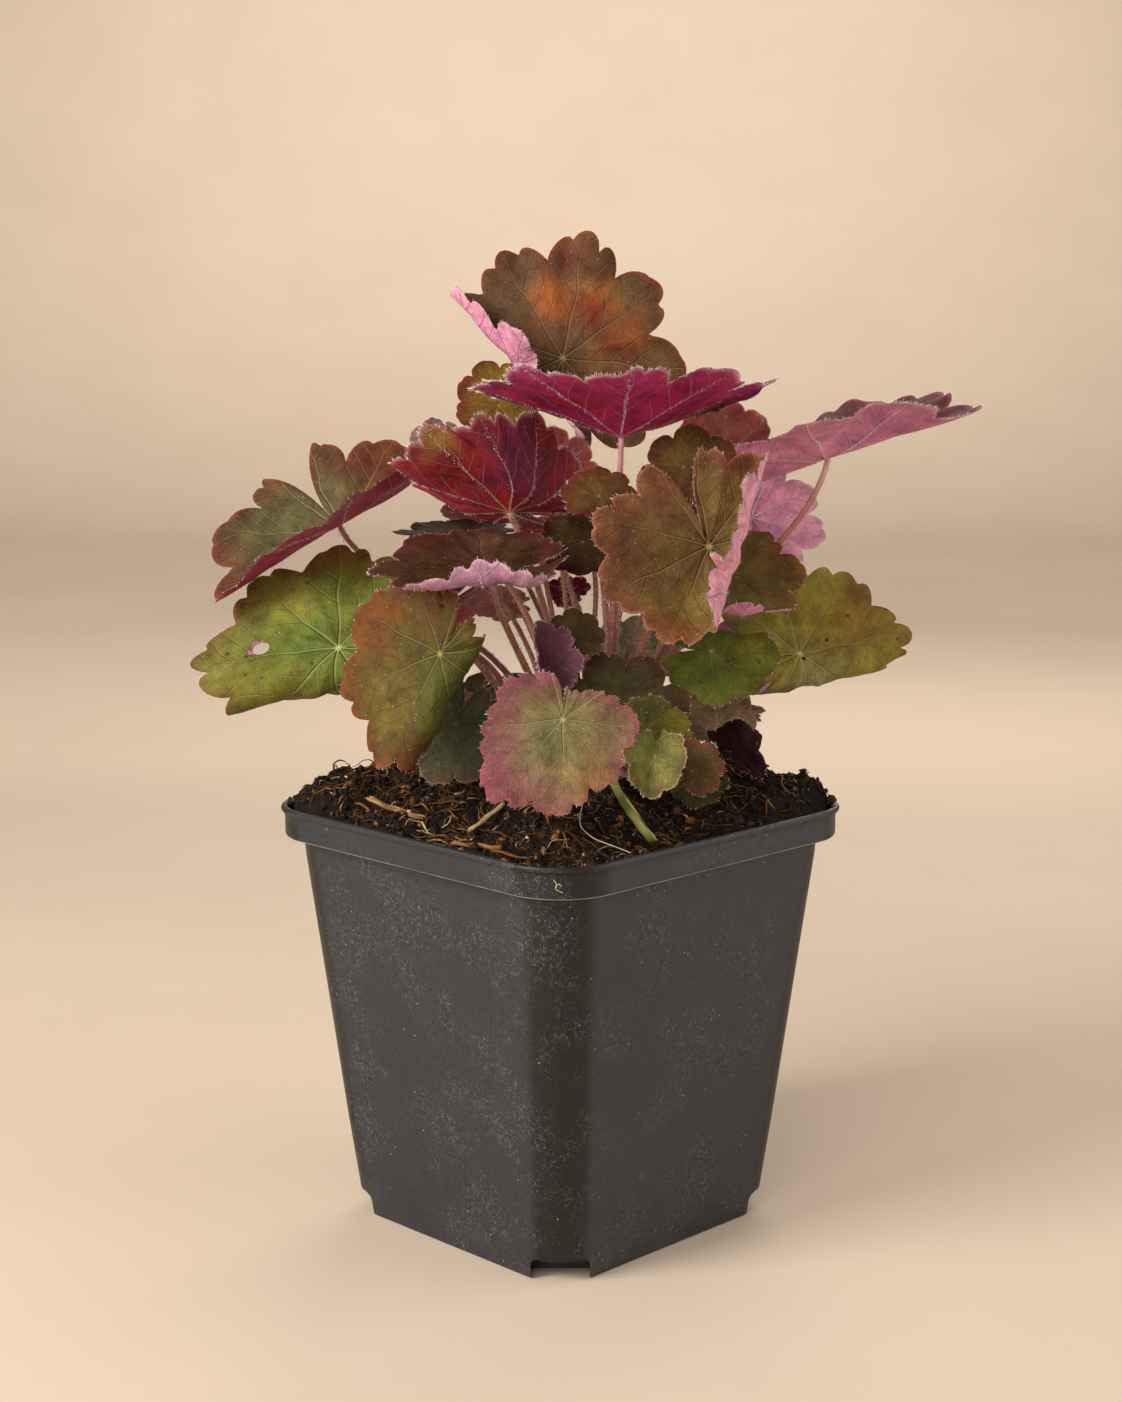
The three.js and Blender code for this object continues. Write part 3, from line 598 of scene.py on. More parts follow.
@dataclass(frozen=True)
class PlasticFinish:
    """Dark moulded plastic: a grey sheen painted on the flat walls for the bright room they reflect, with the
    rounded corners left dark as painted shade, fine grain, curly pale scuffs, specks of dust, and a bright
    thin edge under the band.

    A place is on a corner where the smaller of its distances from the two middle planes is more than that of
    the wall's last flat point at the same height: corner_m at the foot, and corner_rise more for each metre.
    """

    # The dark tone below is left bare on the rounded corners as painted shade; the next, lighter one is a
    # painted sheen on the flat walls, standing for the bright room they reflect.
    deep: str = "040608"
    painted_sheen: str = "22272f"
    dust: str = "6b5a48"
    pale: str = "a8a6a2"
    corner_m: float = 0.0241
    corner_rise: float = 0.0845
    edge_m: float = 0.0815

    def make(self) -> bpy.types.Material:
        """The pot's material."""
        g = Graph("pot_plastic")
        place = g.place()
        x, y, height_m = g.axes(place)
        past = g.math("MINIMUM", abs(x), abs(y)) - (height_m * self.corner_rise + self.corner_m)
        clouds = g.noise(place, 28.0, 4.0)
        # Painted reflection: the flat walls take the lighter sheen as if they mirrored the bright room, and
        # the rounded corners stay dark as painted shade.
        painted_sheen = g.step(past, 0.0022, -0.0012) * (clouds * 0.9 + 0.5)
        grain = g.noise(place, 1500.0, 4.0, 0.75)
        colour = g.shaded(grain * 2.4 - 0.2, g.mix(painted_sheen, rgba(self.deep), rgba(self.painted_sheen)))
        low = g.step(height_m, 0.012, 0.0) * g.step(g.noise(place, 90.0, 5.0, 0.7), 0.45, 0.75)
        curl = abs(g.noise(place, 700.0, 2.0) - 0.5)
        worn = g.step(g.noise(place, 60.0, 3.0, 0.7), 0.44, 0.62)
        edge = self.edge_m
        rim = g.step(height_m, edge, edge + 0.00008) * g.step(height_m, edge + 0.0004, edge + 0.0002)
        for share, tone in (
            (low * 0.2, self.dust),
            (g.step(curl, 0.016, 0.004) * worn * 0.26, self.pale),
            (g.dots(place, 900.0, 0.14, 0.16) * 0.5, self.dust),
            (g.dots(place, 620.0, 0.12, 0.14) * 0.7, self.pale),
            (rim * (g.noise(place, 130.0) * 1.2 + 0.05), self.pale),
        ):
            colour = g.mix(share, colour, rgba(tone))
        rough = g.highest(clouds, worn) * 0.2 + 0.34
        return g.finish(colour, rough, g.bump(grain + g.noise(place, 55.0, 2.0) * 2.0, 0.00014, 0.6))


@dataclass(frozen=True)
class PeatFinish:
    """Moist peat: near-black to reddish brown crumbs and threads, all matt."""

    darkest: str = "0d0907"
    middle: str = "23180f"
    warm: str = "543820"

    def make(self) -> bpy.types.Material:
        """The soil's material."""
        g = Graph("peat")
        place = g.place()
        coarse, fine = g.noise(place, 220.0, 5.0, 0.65), g.noise(place, 900.0, 4.0, 0.7)
        colour = g.mix(g.step(coarse, 0.4, 0.62), rgba(self.darkest), rgba(self.middle))
        colour = g.mix(g.step(fine, 0.56, 0.72) * 0.7, colour, rgba(self.warm))
        return g.finish(colour, 0.85, g.bump(coarse * 2.0 + fine, 0.0016), gloss=0.25)


@dataclass(frozen=True)
class FibreFinish:
    """Dry plant fibre: the points' own tint with streaks along the map."""

    name: str
    stretch: tuple[float, float, float] = (12.0, 2.0, 1.0)
    gloss: float = 0.25

    def make(self) -> bpy.types.Material:
        """The fibre's material."""
        g = Graph(self.name)
        streak = g.streaks(self.stretch, 2.5, 4.0)
        colour = g.shaded((streak + g.noise(g.place(), 500.0)) * 1.1 - 0.1)
        return g.finish(colour, 0.75, g.bump(streak, 0.0003, 0.8), gloss=self.gloss)


# ---- Pot ----


def rounded_square(half: float, radius: float, steps: int, flats: int) -> np.ndarray:
    """Points of a rounded square, counter-clockwise from the +X side, with some on each flat as well."""
    arc = half - radius + radius * circle(np.linspace(0, math.pi / 2, steps + 1))
    shares = np.array([0.02, *np.linspace(0, 1, flats + 2)[1:-1], 0.98])
    flat = arc[-1] + (arc[-1] * [-1, 1] - arc[-1]) * shares[:, None]
    side = np.concatenate([arc, flat])
    quarters = []
    for quarter in range(4):
        c, s = round(math.cos(quarter * math.pi / 2)), round(math.sin(quarter * math.pi / 2))
        quarters.append(side @ np.array([[c, s], [-s, c]]))
    return np.concatenate(quarters)


def level_ring(half: float, radius: float, z: float, steps: int, flats: int) -> np.ndarray:
    """A rounded square at a height."""
    ring = rounded_square(half, radius, steps, flats)
    return np.column_stack([ring, np.full(len(ring), z)])


def lofted(rings: np.ndarray) -> tuple[np.ndarray, np.ndarray, np.ndarray]:
    """A skin through rings of equally many points, closed by a fan at each end.

    Args:
        rings: Ring, point and coordinate, the first ring seen counter-clockwise from where the loft goes.

    Returns:
        Points, quads and tris.
    """
    points = np.concatenate([rings.reshape(-1, 3), rings[0].mean(axis=0)[None], rings[-1].mean(axis=0)[None]])
    return points, *closed_rings(*rings.shape[:2])


def cutter_of(name: str, rings: np.ndarray) -> bpy.types.Object:
    """A closed solid through rings, to cut another with."""
    points, quads, tris = lofted(rings)
    mesh = bpy.data.meshes.new(name)
    mesh.from_pydata((points * MM).tolist(), [], quads.tolist() + tris.tolist())
    return placed(name, mesh)


def carve(piece: bpy.types.Object, cutters: list[bpy.types.Object], sharp: float) -> None:
    """Takes the cutters out of a piece for good and removes them.

    Args:
        piece: The piece, whose mesh is replaced.
        cutters: Closed solids.
        sharp: Angle in degrees over which an edge stays sharp.
    """
    for cutter in cutters:
        cut = piece.modifiers.new(cutter.name, "BOOLEAN")
        cut.operation, cut.solver, cut.object = "DIFFERENCE", "EXACT", cutter
    bpy.context.view_layer.update()
    shape = piece.evaluated_get(bpy.context.evaluated_depsgraph_get())
    mesh = bpy.data.meshes.new_from_object(shape)
    piece.modifiers.clear()
    piece.data = mesh
    mesh.name = piece.name
    for cutter in cutters:
        bpy.data.objects.remove(cutter)
    mesh.shade_smooth()
    mesh.set_sharp_from_angle(angle=math.radians(sharp))


@dataclass
class Pot:
    """The square pot: one closed skin from the foot up the wall, over the lip and down inside to the floor.

    levels are its rings, each with half its width, the radius of its corners and its height. The foot's
    corners have low recesses along the diagonals and a drain hole over each.
    """

    levels: tuple[tuple[float, float, float], ...] = (
        (29.6, 5.8, 0.0), (31.4, 7.4, 0.0), (31.85, 7.8, 0.2), (32.07, 8.0, 0.7), (32.15, 8.05, 1.6),
        (32.6, 8.15, 6.0), (34.2, 8.4, 20.0), (36.3, 8.8, 40.0), (38.5, 9.2, 61.0), (40.2, 9.5, 77.0),
        (40.46, 9.6, 80.2), (40.62, 9.6, 81.1), (41.0, 9.9, 81.45), (43.3, 12.0, 81.5), (43.85, 12.5, 81.6),
        (44.15, 12.75, 81.95), (44.2, 12.8, 82.6), (44.2, 12.8, 84.4), (44.2, 12.8, 86.1), (44.3, 12.9, 86.5),
        (44.72, 13.3, 86.75), (44.95, 13.5, 87.1), (44.97, 13.55, 87.5), (44.75, 13.35, 87.85),
        (44.3, 12.9, 88.0), (43.8, 12.4, 87.9), (43.4, 12.0, 87.5), (43.25, 11.85, 86.8), (42.85, 11.5, 83.2),
        (42.5, 11.2, 82.3), (39.6, 8.6, 80.9), (39.3, 8.4, 80.0), (36.5, 7.9, 52.0), (31.6, 7.0, 7.6),
        (30.6, 6.6, 7.2),
    )
    notch_out: float = 34.0
    notch_run: float = 20.0
    notch_half: float = 5.9
    notch_high: float = 4.8
    notch_round: float = 1.6
    drain_out: float = 37.6
    drain_run: float = 10.0
    drain_radius: float = 2.2
    sharp: float = 32.0

    def build(self) -> None:
        """Makes the pot."""
        rings = np.array([level_ring(*level, 14, 5) for level in self.levels])
        pot = Skin(*lofted(rings)).piece("pot_shell", [PlasticFinish().make()], "pot_plastic")
        cutters = [
            cutter_of(f"cutter_{name}_{corner}", turned(prism, math.radians(45 + 90 * corner)))
            for corner in range(4)
            for name, prism in (("slot", self._slot()), ("hole", self._hole()))
        ]
        carve(pot, cutters, self.sharp)
        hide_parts("pot")

    def _slot(self) -> np.ndarray:
        """Both ends of a recess along +X, round at its upper corners."""
        inner = np.array([self.notch_half, self.notch_high]) - self.notch_round
        right = inner + self.notch_round * circle(np.linspace(0, math.pi / 2, 7))
        foot = [[-self.notch_half, -2.0], [self.notch_half, -2.0]]
        outline = np.concatenate([foot, right, right[::-1] * [-1, 1]])
        near = np.column_stack([np.full(len(outline), self.notch_out), outline])
        return np.array([near, near + [self.notch_run, 0, 0]])

    def _hole(self) -> np.ndarray:
        """Both ends of a drain hole over +X."""
        outline = self.drain_radius * circle(np.arange(24) * math.pi / 12) + [self.drain_out, 0.0]
        near = np.column_stack([outline, np.full(24, 1.0)])
        return np.array([near, near + [0, 0, self.drain_run]])


# ---- Soil ----


def mound(x: np.ndarray, y: np.ndarray) -> np.ndarray:
    """Height of the soil over a point of the pot, before its lumps: high at the back, low at the front."""
    back = (y - x) * math.cos(VIEW_TURN)
    out = np.maximum(np.abs(x), np.abs(y)) / HEAP_HALF
    edge = FRONT_EDGE + EDGE_RISE * smoothstep(back, -34, 14)
    slope = HEAP_TOP + (edge - HEAP_TOP) * smoothstep(out, 0.3, 0.88)
    return slope + (np.minimum(slope, WALL_TOP) - slope) * smoothstep(out, 0.86, 1)


@dataclass
class Soil:
    """The heaped peat with its crumbs, fibres, root curls and split straw.

    flanks are the rings under the heap, as in Pot.levels. The weights say how often each tone is drawn. hair
    is a pale root hair's path [x, y, z] in the plant's axes; scraps are bits of root stuck on the band.
    """

    rings: int = 72
    crumbs: int = 3400
    fibres: int = 2200
    curls: int = 1300
    shreds: int = 30
    seed: int = 41
    lying_half: float = 41.2
    standing_half: float = 41.6
    flanks: tuple[tuple[float, float, float], ...] = ((30.2, 6.3, 7.6), (38.7, 7.8, 80.3), (42.2, 10.9, 82.7))
    tones: tuple[str, ...] = ("1a110b", "3c2413", "62401f", "8a5c2e", "b08a55", "d8be90")
    crumb_weights: tuple[float, ...] = (0.46, 0.34, 0.13, 0.05, 0.015, 0.005)
    fibre_weights: tuple[float, ...] = (0.22, 0.3, 0.22, 0.14, 0.08, 0.04)
    curl_weights: tuple[float, ...] = (0.06, 0.2, 0.27, 0.24, 0.16, 0.07)
    shred_weights: tuple[float, ...] = (0.0, 0.2, 0.3, 0.27, 0.15, 0.08)
    hair_tone: str = "d6c8ac"
    hair: tuple[tuple[float, float, float], ...] = (
        (6, -22, 97), (4.2, -30, 93.6), (3.6, -35.5, 91), (6.2, -40.5, 89.6), (10, -44.6, 89.1),
        (13.6, -48.8, 88.6),
    )
    scraps: tuple[tuple[tuple[float, float, float], ...], ...] = (
        (
            (-1.2, -57.2, 85.6), (-0.5, -57.3, 84.6), (-1.0, -57.25, 83.9), (-0.1, -57.3, 83.4),
            (0.6, -57.3, 83.1),
        ),
        ((-0.9, -57.2, 84.4), (-0.2, -57.3, 84.9), (0.3, -57.3, 84.3)),
    )
    lattice: Lattice = field(default_factory=lambda: Lattice(23))

    def height(self, x: np.ndarray, y: np.ndarray) -> np.ndarray:
        """The mound with its lumps: layered noise, weaker towards the wall."""
        rough = self.lattice.layered(x, y, 7.0, 5)
        clods = np.abs(self.lattice.at(x / 3.1 + 40, y / 3.1))
        out = np.maximum(np.abs(x), np.abs(y)) / HEAP_HALF
        return mound(x, y) + (rough * 1.5 + clods * 1.7 - 0.9) * (1 - 0.7 * smoothstep(out, 0.9, 1))

    def build(self) -> None:
        """Makes the soil, its crumbs, its fibres and its roots."""
        outline = rounded_square(HEAP_HALF, 11.0, 30, 40)
        shares = 1 - np.linspace(0, 1, self.rings + 1)[:-1] ** 1.1
        x, y = shares[:, None] * outline[:, 0], shares[:, None] * outline[:, 1]
        top = np.stack([x, y, self.height(x, y)], axis=-1)
        flank = np.array([level_ring(*ring, 30, 40) for ring in self.flanks])
        heap = Skin(*lofted(np.concatenate([flank, top]))).piece("soil_heap", [PeatFinish().make()], "soil")
        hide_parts("soil")
        rng = np.random.default_rng(self.seed)
        self._crumbs(rng).piece("soil_crumbs", [FibreFinish("peat_crumb").make()], "soil", smooth=False)
        fibre = FibreFinish("peat_fibre").make()
        self._threads(rng).piece("soil_fibres", [fibre], "soil")
        roots = [self._curls(rng), self._shreds(rng), *self._hairs()]
        Skin.joined(roots).piece("soil_roots", [fibre], "straw")

    def _spots(self, rng: np.random.Generator, count: int, inner: float) -> np.ndarray:
        """Random places on the soil, inside that share of the pot."""
        flat = rng.uniform(-HEAP_HALF * inner, HEAP_HALF * inner, (count, 2))
        return np.column_stack([flat, self.height(flat[:, 0], flat[:, 1])])

    def _tints(self, rng: np.random.Generator, count: int, weights: tuple[float, ...]) -> np.ndarray:
        """Random tones of the peat, each as often as its weight says."""
        tones = np.array([linear(t) for t in self.tones])
        return tones[rng.choice(len(tones), count, p=weights)] * rng.uniform(0.7, 1.2, (count, 1))

    def _crumbs(self, rng: np.random.Generator) -> Skin:
        """Crumbs: twenty-faced balls with each corner moved at random, stretched and half sunk."""
        golden = (1 + 5**0.5) / 2
        corners = np.array([[-1, golden, 0], [1, golden, 0], [-1, -golden, 0], [1, -golden, 0]])
        corners = unit(np.concatenate([corners, np.roll(corners, 1, axis=1), np.roll(corners, 2, axis=1)]))
        faces = self._ball_faces(corners)
        sizes = rng.lognormal(-0.85, 0.5, self.crumbs).clip(0.18, 1.3)
        stretch = rng.uniform(0.5, 1.4, (self.crumbs, 1, 3)) * sizes[:, None, None]
        jitter = rng.uniform(0.5, 1.35, (self.crumbs, 12, 1))
        x, y, z = np.moveaxis(corners[None] * jitter * stretch, -1, 0)
        angle = rng.uniform(0, TAU, (self.crumbs, 1))
        c, s = np.cos(angle), np.sin(angle)
        shapes = np.stack([x * c - y * s, x * s + y * c, z], axis=-1)
        places = self._spots(rng, self.crumbs, 0.965)[:, None] + [0, 0, 0.2]
        tints = np.repeat(self._tints(rng, self.crumbs, self.crumb_weights) * 0.8, 12, axis=0)
        tris = (np.arange(self.crumbs)[:, None, None] * 12 + faces).reshape(-1, 3)
        points = (shapes + places).reshape(-1, 3)
        return Skin(points, tris=tris, tint=tints, plan=points[:, :2] * 0.05)

    @staticmethod
    def _ball_faces(corners: np.ndarray) -> np.ndarray:
        """The twenty faces of a ball of twelve corners, facing outwards."""
        near = np.linalg.norm(corners[:, None] - corners[None], axis=-1) < 1.2
        a, b, c = np.meshgrid(*[np.arange(12)] * 3, indexing="ij")
        joined = near[a, b] & near[b, c] & near[a, c] & (a < b) & (b < c)
        faces = np.column_stack([a[joined], b[joined], c[joined]])
        first, second, third = (corners[faces[:, corner]] for corner in range(3))
        inward = (np.cross(second - first, third - first) * first).sum(axis=1) < 0
        faces[inward] = faces[inward][:, ::-1]
        return faces

    def _lying(self, middle: np.ndarray, ways: np.ndarray, evened: float, lift: np.ndarray) -> np.ndarray:
        """Paths that lie on the heap.

        Args:
            middle: The middle of each path.
            ways: Its level steps.
            evened: Share of the ground's mean height in its height, the rest being the ground's own.
            lift: Its height over that.

        Returns:
            The paths' points.
        """
        flat = middle[:, None, :2] + np.cumsum(ways, axis=1) - ways.sum(axis=1, keepdims=True) / 2
        flat = np.clip(flat, -self.lying_half, self.lying_half)
        ground = self.height(flat[..., 0], flat[..., 1])
        high = ground * (1 - evened) + ground.mean(axis=1, keepdims=True) * evened + lift
        return np.concatenate([flat, high[..., None]], axis=-1)

    def _threads(self, rng: np.random.Generator) -> Skin:
        """Fibres: thin tubes whose paths are arcs with a random curl, some with an end in the air."""
        steps, count = 7, self.fibres
        share = np.linspace(0, 1, steps)
        length = rng.lognormal(1.3, 0.5, count).clip(1.5, 12)
        heading = rng.uniform(0, TAU, count)
        curl = rng.normal(0, 2.2, count)
        sway = 0.5 * np.sin(share * rng.uniform(3, 9, (count, 1)))
        ways = circle(heading[:, None] + curl[:, None] * share + sway) * (length[:, None, None] / (steps - 1))
        middle = self._spots(rng, count, 0.93)
        arch = np.sin(share * math.pi) * rng.uniform(0.2, 0.12 * length + 0.3)[:, None]
        tail = np.where(rng.random(count) < 0.18, rng.uniform(0.4, 1.8, count), 0)[:, None] * share
        path = self._lying(middle, ways, 0.3, arch + tail)
        radius = rng.lognormal(-2.1, 0.4, count).clip(0.06, 0.4)
        return self._thin_tubes(path, radius, self._tints(rng, count, self.fibre_weights))

    def _curls(self, rng: np.random.Generator) -> Skin:
        """Root curls: thin tubes whose heading and slope both turn steadily, standing up out of the heap."""
        steps, count = 9, self.curls
        share = np.linspace(0, 1, steps)
        length = rng.uniform(1.8, 5.5, count)
        turn = rng.choice([-1.0, 1.0], (count, 1)) * rng.uniform(1.5, 5.5, (count, 1))
        angle = rng.uniform(0, TAU, (count, 1)) + turn * share + rng.normal(0, 0.25, (count, steps))
        slope = rng.uniform(0.1, 0.8, (count, 1)) + rng.normal(-1.6, 0.8, (count, 1)) * share
        level = circle(angle) * np.cos(slope)[..., None]
        walk = np.cumsum(np.concatenate([level, np.sin(slope)[..., None]], axis=-1), axis=1)
        walk *= length[:, None, None] / steps
        middle = self._spots(rng, count, 0.9)
        walk *= 1 - 0.6 * smoothstep(np.abs(middle[:, :2]).max(axis=1), 33, 38)[:, None, None]
        path = middle[:, None] + walk - [0, 0, 0.15]
        path[..., :2] = np.clip(path[..., :2], -self.standing_half, self.standing_half)
        ground = self.height(path[..., 0], path[..., 1]) - 0.1
        path[..., 2] = np.maximum(path[..., 2], ground)
        radius = rng.uniform(0.07, 0.17, count)
        return self._thin_tubes(path, radius, self._tints(rng, count, self.curl_weights))

    def _shreds(self, rng: np.random.Generator) -> Skin:
        """Split straw lying along the front left wall: long, gently bent thin tubes."""
        steps, count = 9, self.shreds
        share = np.linspace(0, 1, steps)
        length = rng.uniform(5, 15, count)
        angle = rng.normal(-0.1, 0.5, (count, 1)) + rng.normal(0, 0.5, (count, 1)) * share
        ways = circle(angle) * (length[:, None, None] / steps)
        middle = np.column_stack([rng.uniform(-32, 32, count), rng.uniform(-40, -20, count)])
        arch = np.sin(share * math.pi) * rng.uniform(0, 1.0, (count, 1))
        lift = 0.25 + arch + rng.uniform(0, 1.4, (count, 1)) * share**2
        path = self._lying(middle, ways, 0.6, lift)
        radius = rng.uniform(0.14, 0.42, count)
        return self._thin_tubes(path, radius, self._tints(rng, count, self.shred_weights))

    def _hairs(self) -> list[Skin]:
        """The pale root hair and the scraps on the band, each a fine tube along a smoothed path."""
        skins = []
        for corners, radius in ((self.hair, 0.1), *((scrap, 0.08) for scrap in self.scraps)):
            knots = np.array(corners, float)
            share = np.linspace(0, len(knots) - 1, 8 * len(knots))
            path = np.column_stack([np.interp(share, np.arange(len(knots)), axis) for axis in knots.T])
            padded = np.pad(path, ((3, 3), (0, 0)), mode="edge")
            path = np.mean([padded[i : i + len(path)] for i in range(7)], axis=0)
            half = np.full(len(path), radius)
            tints = np.broadcast_to(linear(self.hair_tone), path.shape)
            skins.append(tube(turned(path), half, half, 5, np.array([0.3, 0.9, 0.2]), tints))
        return skins

    @staticmethod
    def _thin_tubes(path: np.ndarray, radius: np.ndarray, tints: np.ndarray) -> Skin:
        """Many three-sided tubes at once, thinner at the ends and closed there."""
        count, steps = path.shape[:2]
        along = unit(np.gradient(path, axis=1))
        across = unit(np.cross(along, UP + np.array([0.03, 0.02, 0])))
        other = np.cross(along, across)
        slim = radius[:, None] * (0.35 + 0.65 * np.sin(np.linspace(0.25, math.pi - 0.25, steps)))
        turn = np.arange(3)[:, None] * TAU / 3
        ring = across[:, :, None] * np.cos(turn) + other[:, :, None] * np.sin(turn)
        points = (path[:, :, None] + slim[..., None, None] * ring).reshape(-1, 3)
        first = (np.arange(count) * steps * 3)[:, None, None]
        end = steps * 3
        quads = (first + ring_quads(steps, 3)).reshape(-1, 4)
        tris = (first + np.array([[2, 1, 0], [end - 3, end - 2, end - 1]])).reshape(-1, 3)
        plan = np.stack(np.broadcast_arrays(np.arange(3) / 3.0, np.arange(steps)[:, None] * 0.3), axis=-1)
        plan = np.tile(plan.reshape(-1, 2), (count, 1))
        return Skin(points, quads, tris, np.repeat(tints, end, axis=0), plan)


@dataclass
class Straw:
    """A flat straw through three points [x, y, rise over the mound], split into strands at its ends."""

    name: str
    slot: str
    wide: float
    thick: float
    points: tuple[tuple[float, float, float], ...]
    tone: str
    streak: str
    strands: int = 2

    def build(self, material: bpy.types.Material) -> None:
        """Makes the straw's strands as one piece."""
        flat = turned(np.array(self.points))
        flat[:, 2] += mound(flat[:, 0], flat[:, 1]) + 0.3
        share = np.linspace(0, 1, 34)[:, None]
        start, end = (1 - share) * (1 - 2 * share), share * (1 - 2 * share)
        path = start * flat[0] + 4 * share * (1 - share) * flat[1] - end * flat[2]
        across = unit(np.cross(UP, flat[2] - flat[0]))
        parts = []
        for strand in range(self.strands):
            place = (strand + 0.5) / self.strands * 2 - 1
            spread = 1 + 0.35 * np.abs(2 * share - 1) ** 3
            bend = 0.12 * np.sin(share * 9 + strand * 2.1) * self.wide
            line = path + across * (place * self.wide * 0.55 * spread + bend)
            line[:, 2] += 0.1 * np.sin(share[:, 0] * 13 + strand)
            taper = np.clip(np.minimum(share[:, 0], 1 - share[:, 0]) * 14, 0.25, 1)
            wide = self.wide / self.strands * 1.05 * taper
            mixed = np.clip(0.5 + 0.6 * np.sin(share * (11 + 3 * strand) + strand), 0, 1)
            tints = linear(self.tone) * (1 - mixed) + linear(self.streak) * mixed
            parts.append(tube(line, wide, self.thick * (0.75 + 0.25 * taper), 12, across, tints))
        made = Skin.joined(parts).piece(f"{self.name}_strands", [material], self.slot)
        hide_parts(self.name)


@dataclass
class Rootstock:
    """The knobbly top of the rootstock and the dry scales between the stalks.

    The dome's height falls by fall times the square of the distance from its middle.
    """

    rings: int = 26
    columns: int = 96
    radius: float = 14.3
    top: float = 100.0
    fall: float = 0.022
    bark: str = "4a3024"
    scales: int = 90
    scale_tones: tuple[str, ...] = ("5a3524", "7a5236", "3b241c", "8d6a48")
    spiral_step: float = 2.39996

    def build(self, material: bpy.types.Material) -> None:
        """Makes the rootstock: a dome with knobs, and its scales."""
        radii = np.linspace(self.radius, 0.4, self.rings)[:, None]
        x, y = np.moveaxis(radii[..., None] * circle(np.arange(self.columns) * TAU / self.columns), -1, 0)
        z = self.top - self.fall * radii**2 + 0.45 * Lattice(7).layered(x, y, 3.2, 3)
        dome = np.stack([x, y, z], axis=-1)
        skirt = np.array([dome[0] * [0.8, 0.8, 0] + [0, 0, 84.2], dome[0] * [1, 1, 0] + [0, 0, 92.0]])
        points, quads, tris = lofted(turned(np.concatenate([skirt, dome]) + [CROWN_X, CROWN_Y, 0]))
        base = linear(self.bark) * (0.8 + 0.3 * np.random.default_rng(3).random((len(points), 1)))
        parts = [Skin(points, quads, tris, base, points[:, :2] * 0.05), *self._scales()]
        made = Skin.joined(parts).piece("rootstock", [material], "rootstock")
        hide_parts("crown")

    def _scales(self) -> list[Skin]:
        """Dry pointed scales standing in a spiral over the dome."""
        rng = np.random.default_rng(8)
        parts = []
        share = np.linspace(0, 1, 6)
        for i in range(self.scales):
            angle, out = i * self.spiral_step, 2.0 + 11.3 * math.sqrt((i + 0.5) / self.scales)
            away = np.array([math.cos(angle), math.sin(angle), 0.0])
            foot = np.array([CROWN_X, CROWN_Y, self.top - 0.7 - self.fall * out**2]) + away * out
            tall = rng.uniform(1.8, 4.2)
            path = foot + UP * (share * tall)[:, None] + away * (0.5 * share**2 * tall)[:, None]
            wide = rng.uniform(0.7, 1.3) * (1 - share**2 * 0.9)
            tints = np.broadcast_to(linear(self.scale_tones[i % len(self.scale_tones)]), path.shape)
            skin = tube(path, wide, wide * 0.3, 8, np.cross(UP, away), tints)
            skin.points = turned(skin.points)
            parts.append(skin)
        return parts


# ---- Leaves ----


PUCKERS = Lattice(11)


@dataclass(frozen=True)
class Mark:
    """A soft patch of colour: its direction from the stalk, how far out, its size, and its strength."""

    direction: float
    out: float
    size: float
    colour: str
    strength: float = 0.8


@dataclass(frozen=True)
class Tint:
    """One side of a blade: ground, veins, margin and patches."""

    ground: str
    vein: str
    rim: str
    vein_strength: float = 0.7
    lobes: str = ""
    marks: tuple[Mark, ...] = ()

    def paint(self, theta: np.ndarray, out: np.ndarray, share: np.ndarray) -> np.ndarray:
        """The linear colour at directions, distances and shares of the way to the margin."""
        colour = np.broadcast_to(linear(self.ground), (*theta.shape, 3)).copy()
        if self.lobes:
            outer = smoothstep(share + 0.08 * np.sin(theta * 6.3), 0.55, 1.0)[..., None] * 0.85
            colour = colour * (1 - outer) + linear(self.lobes) * outer
        x, y = out * np.cos(theta), out * np.sin(theta)
        for mark in self.marks:
            angle = math.radians(mark.direction)
            dx, dy = x - mark.out * math.cos(angle), y - mark.out * math.sin(angle)
            edge = 1 + 0.25 * np.sin(5 * np.arctan2(dy, dx) + mark.direction)
            near = np.exp(-(((dx**2 + dy**2) ** 0.5 / (mark.size * edge)) ** 2.4))[..., None] * mark.strength
            colour = colour * (1 - near) + linear(mark.colour) * near
        rim = smoothstep(share, 0.96, 0.99)[..., None] * 0.55
        return colour * (1 - rim) + linear(self.rim) * rim


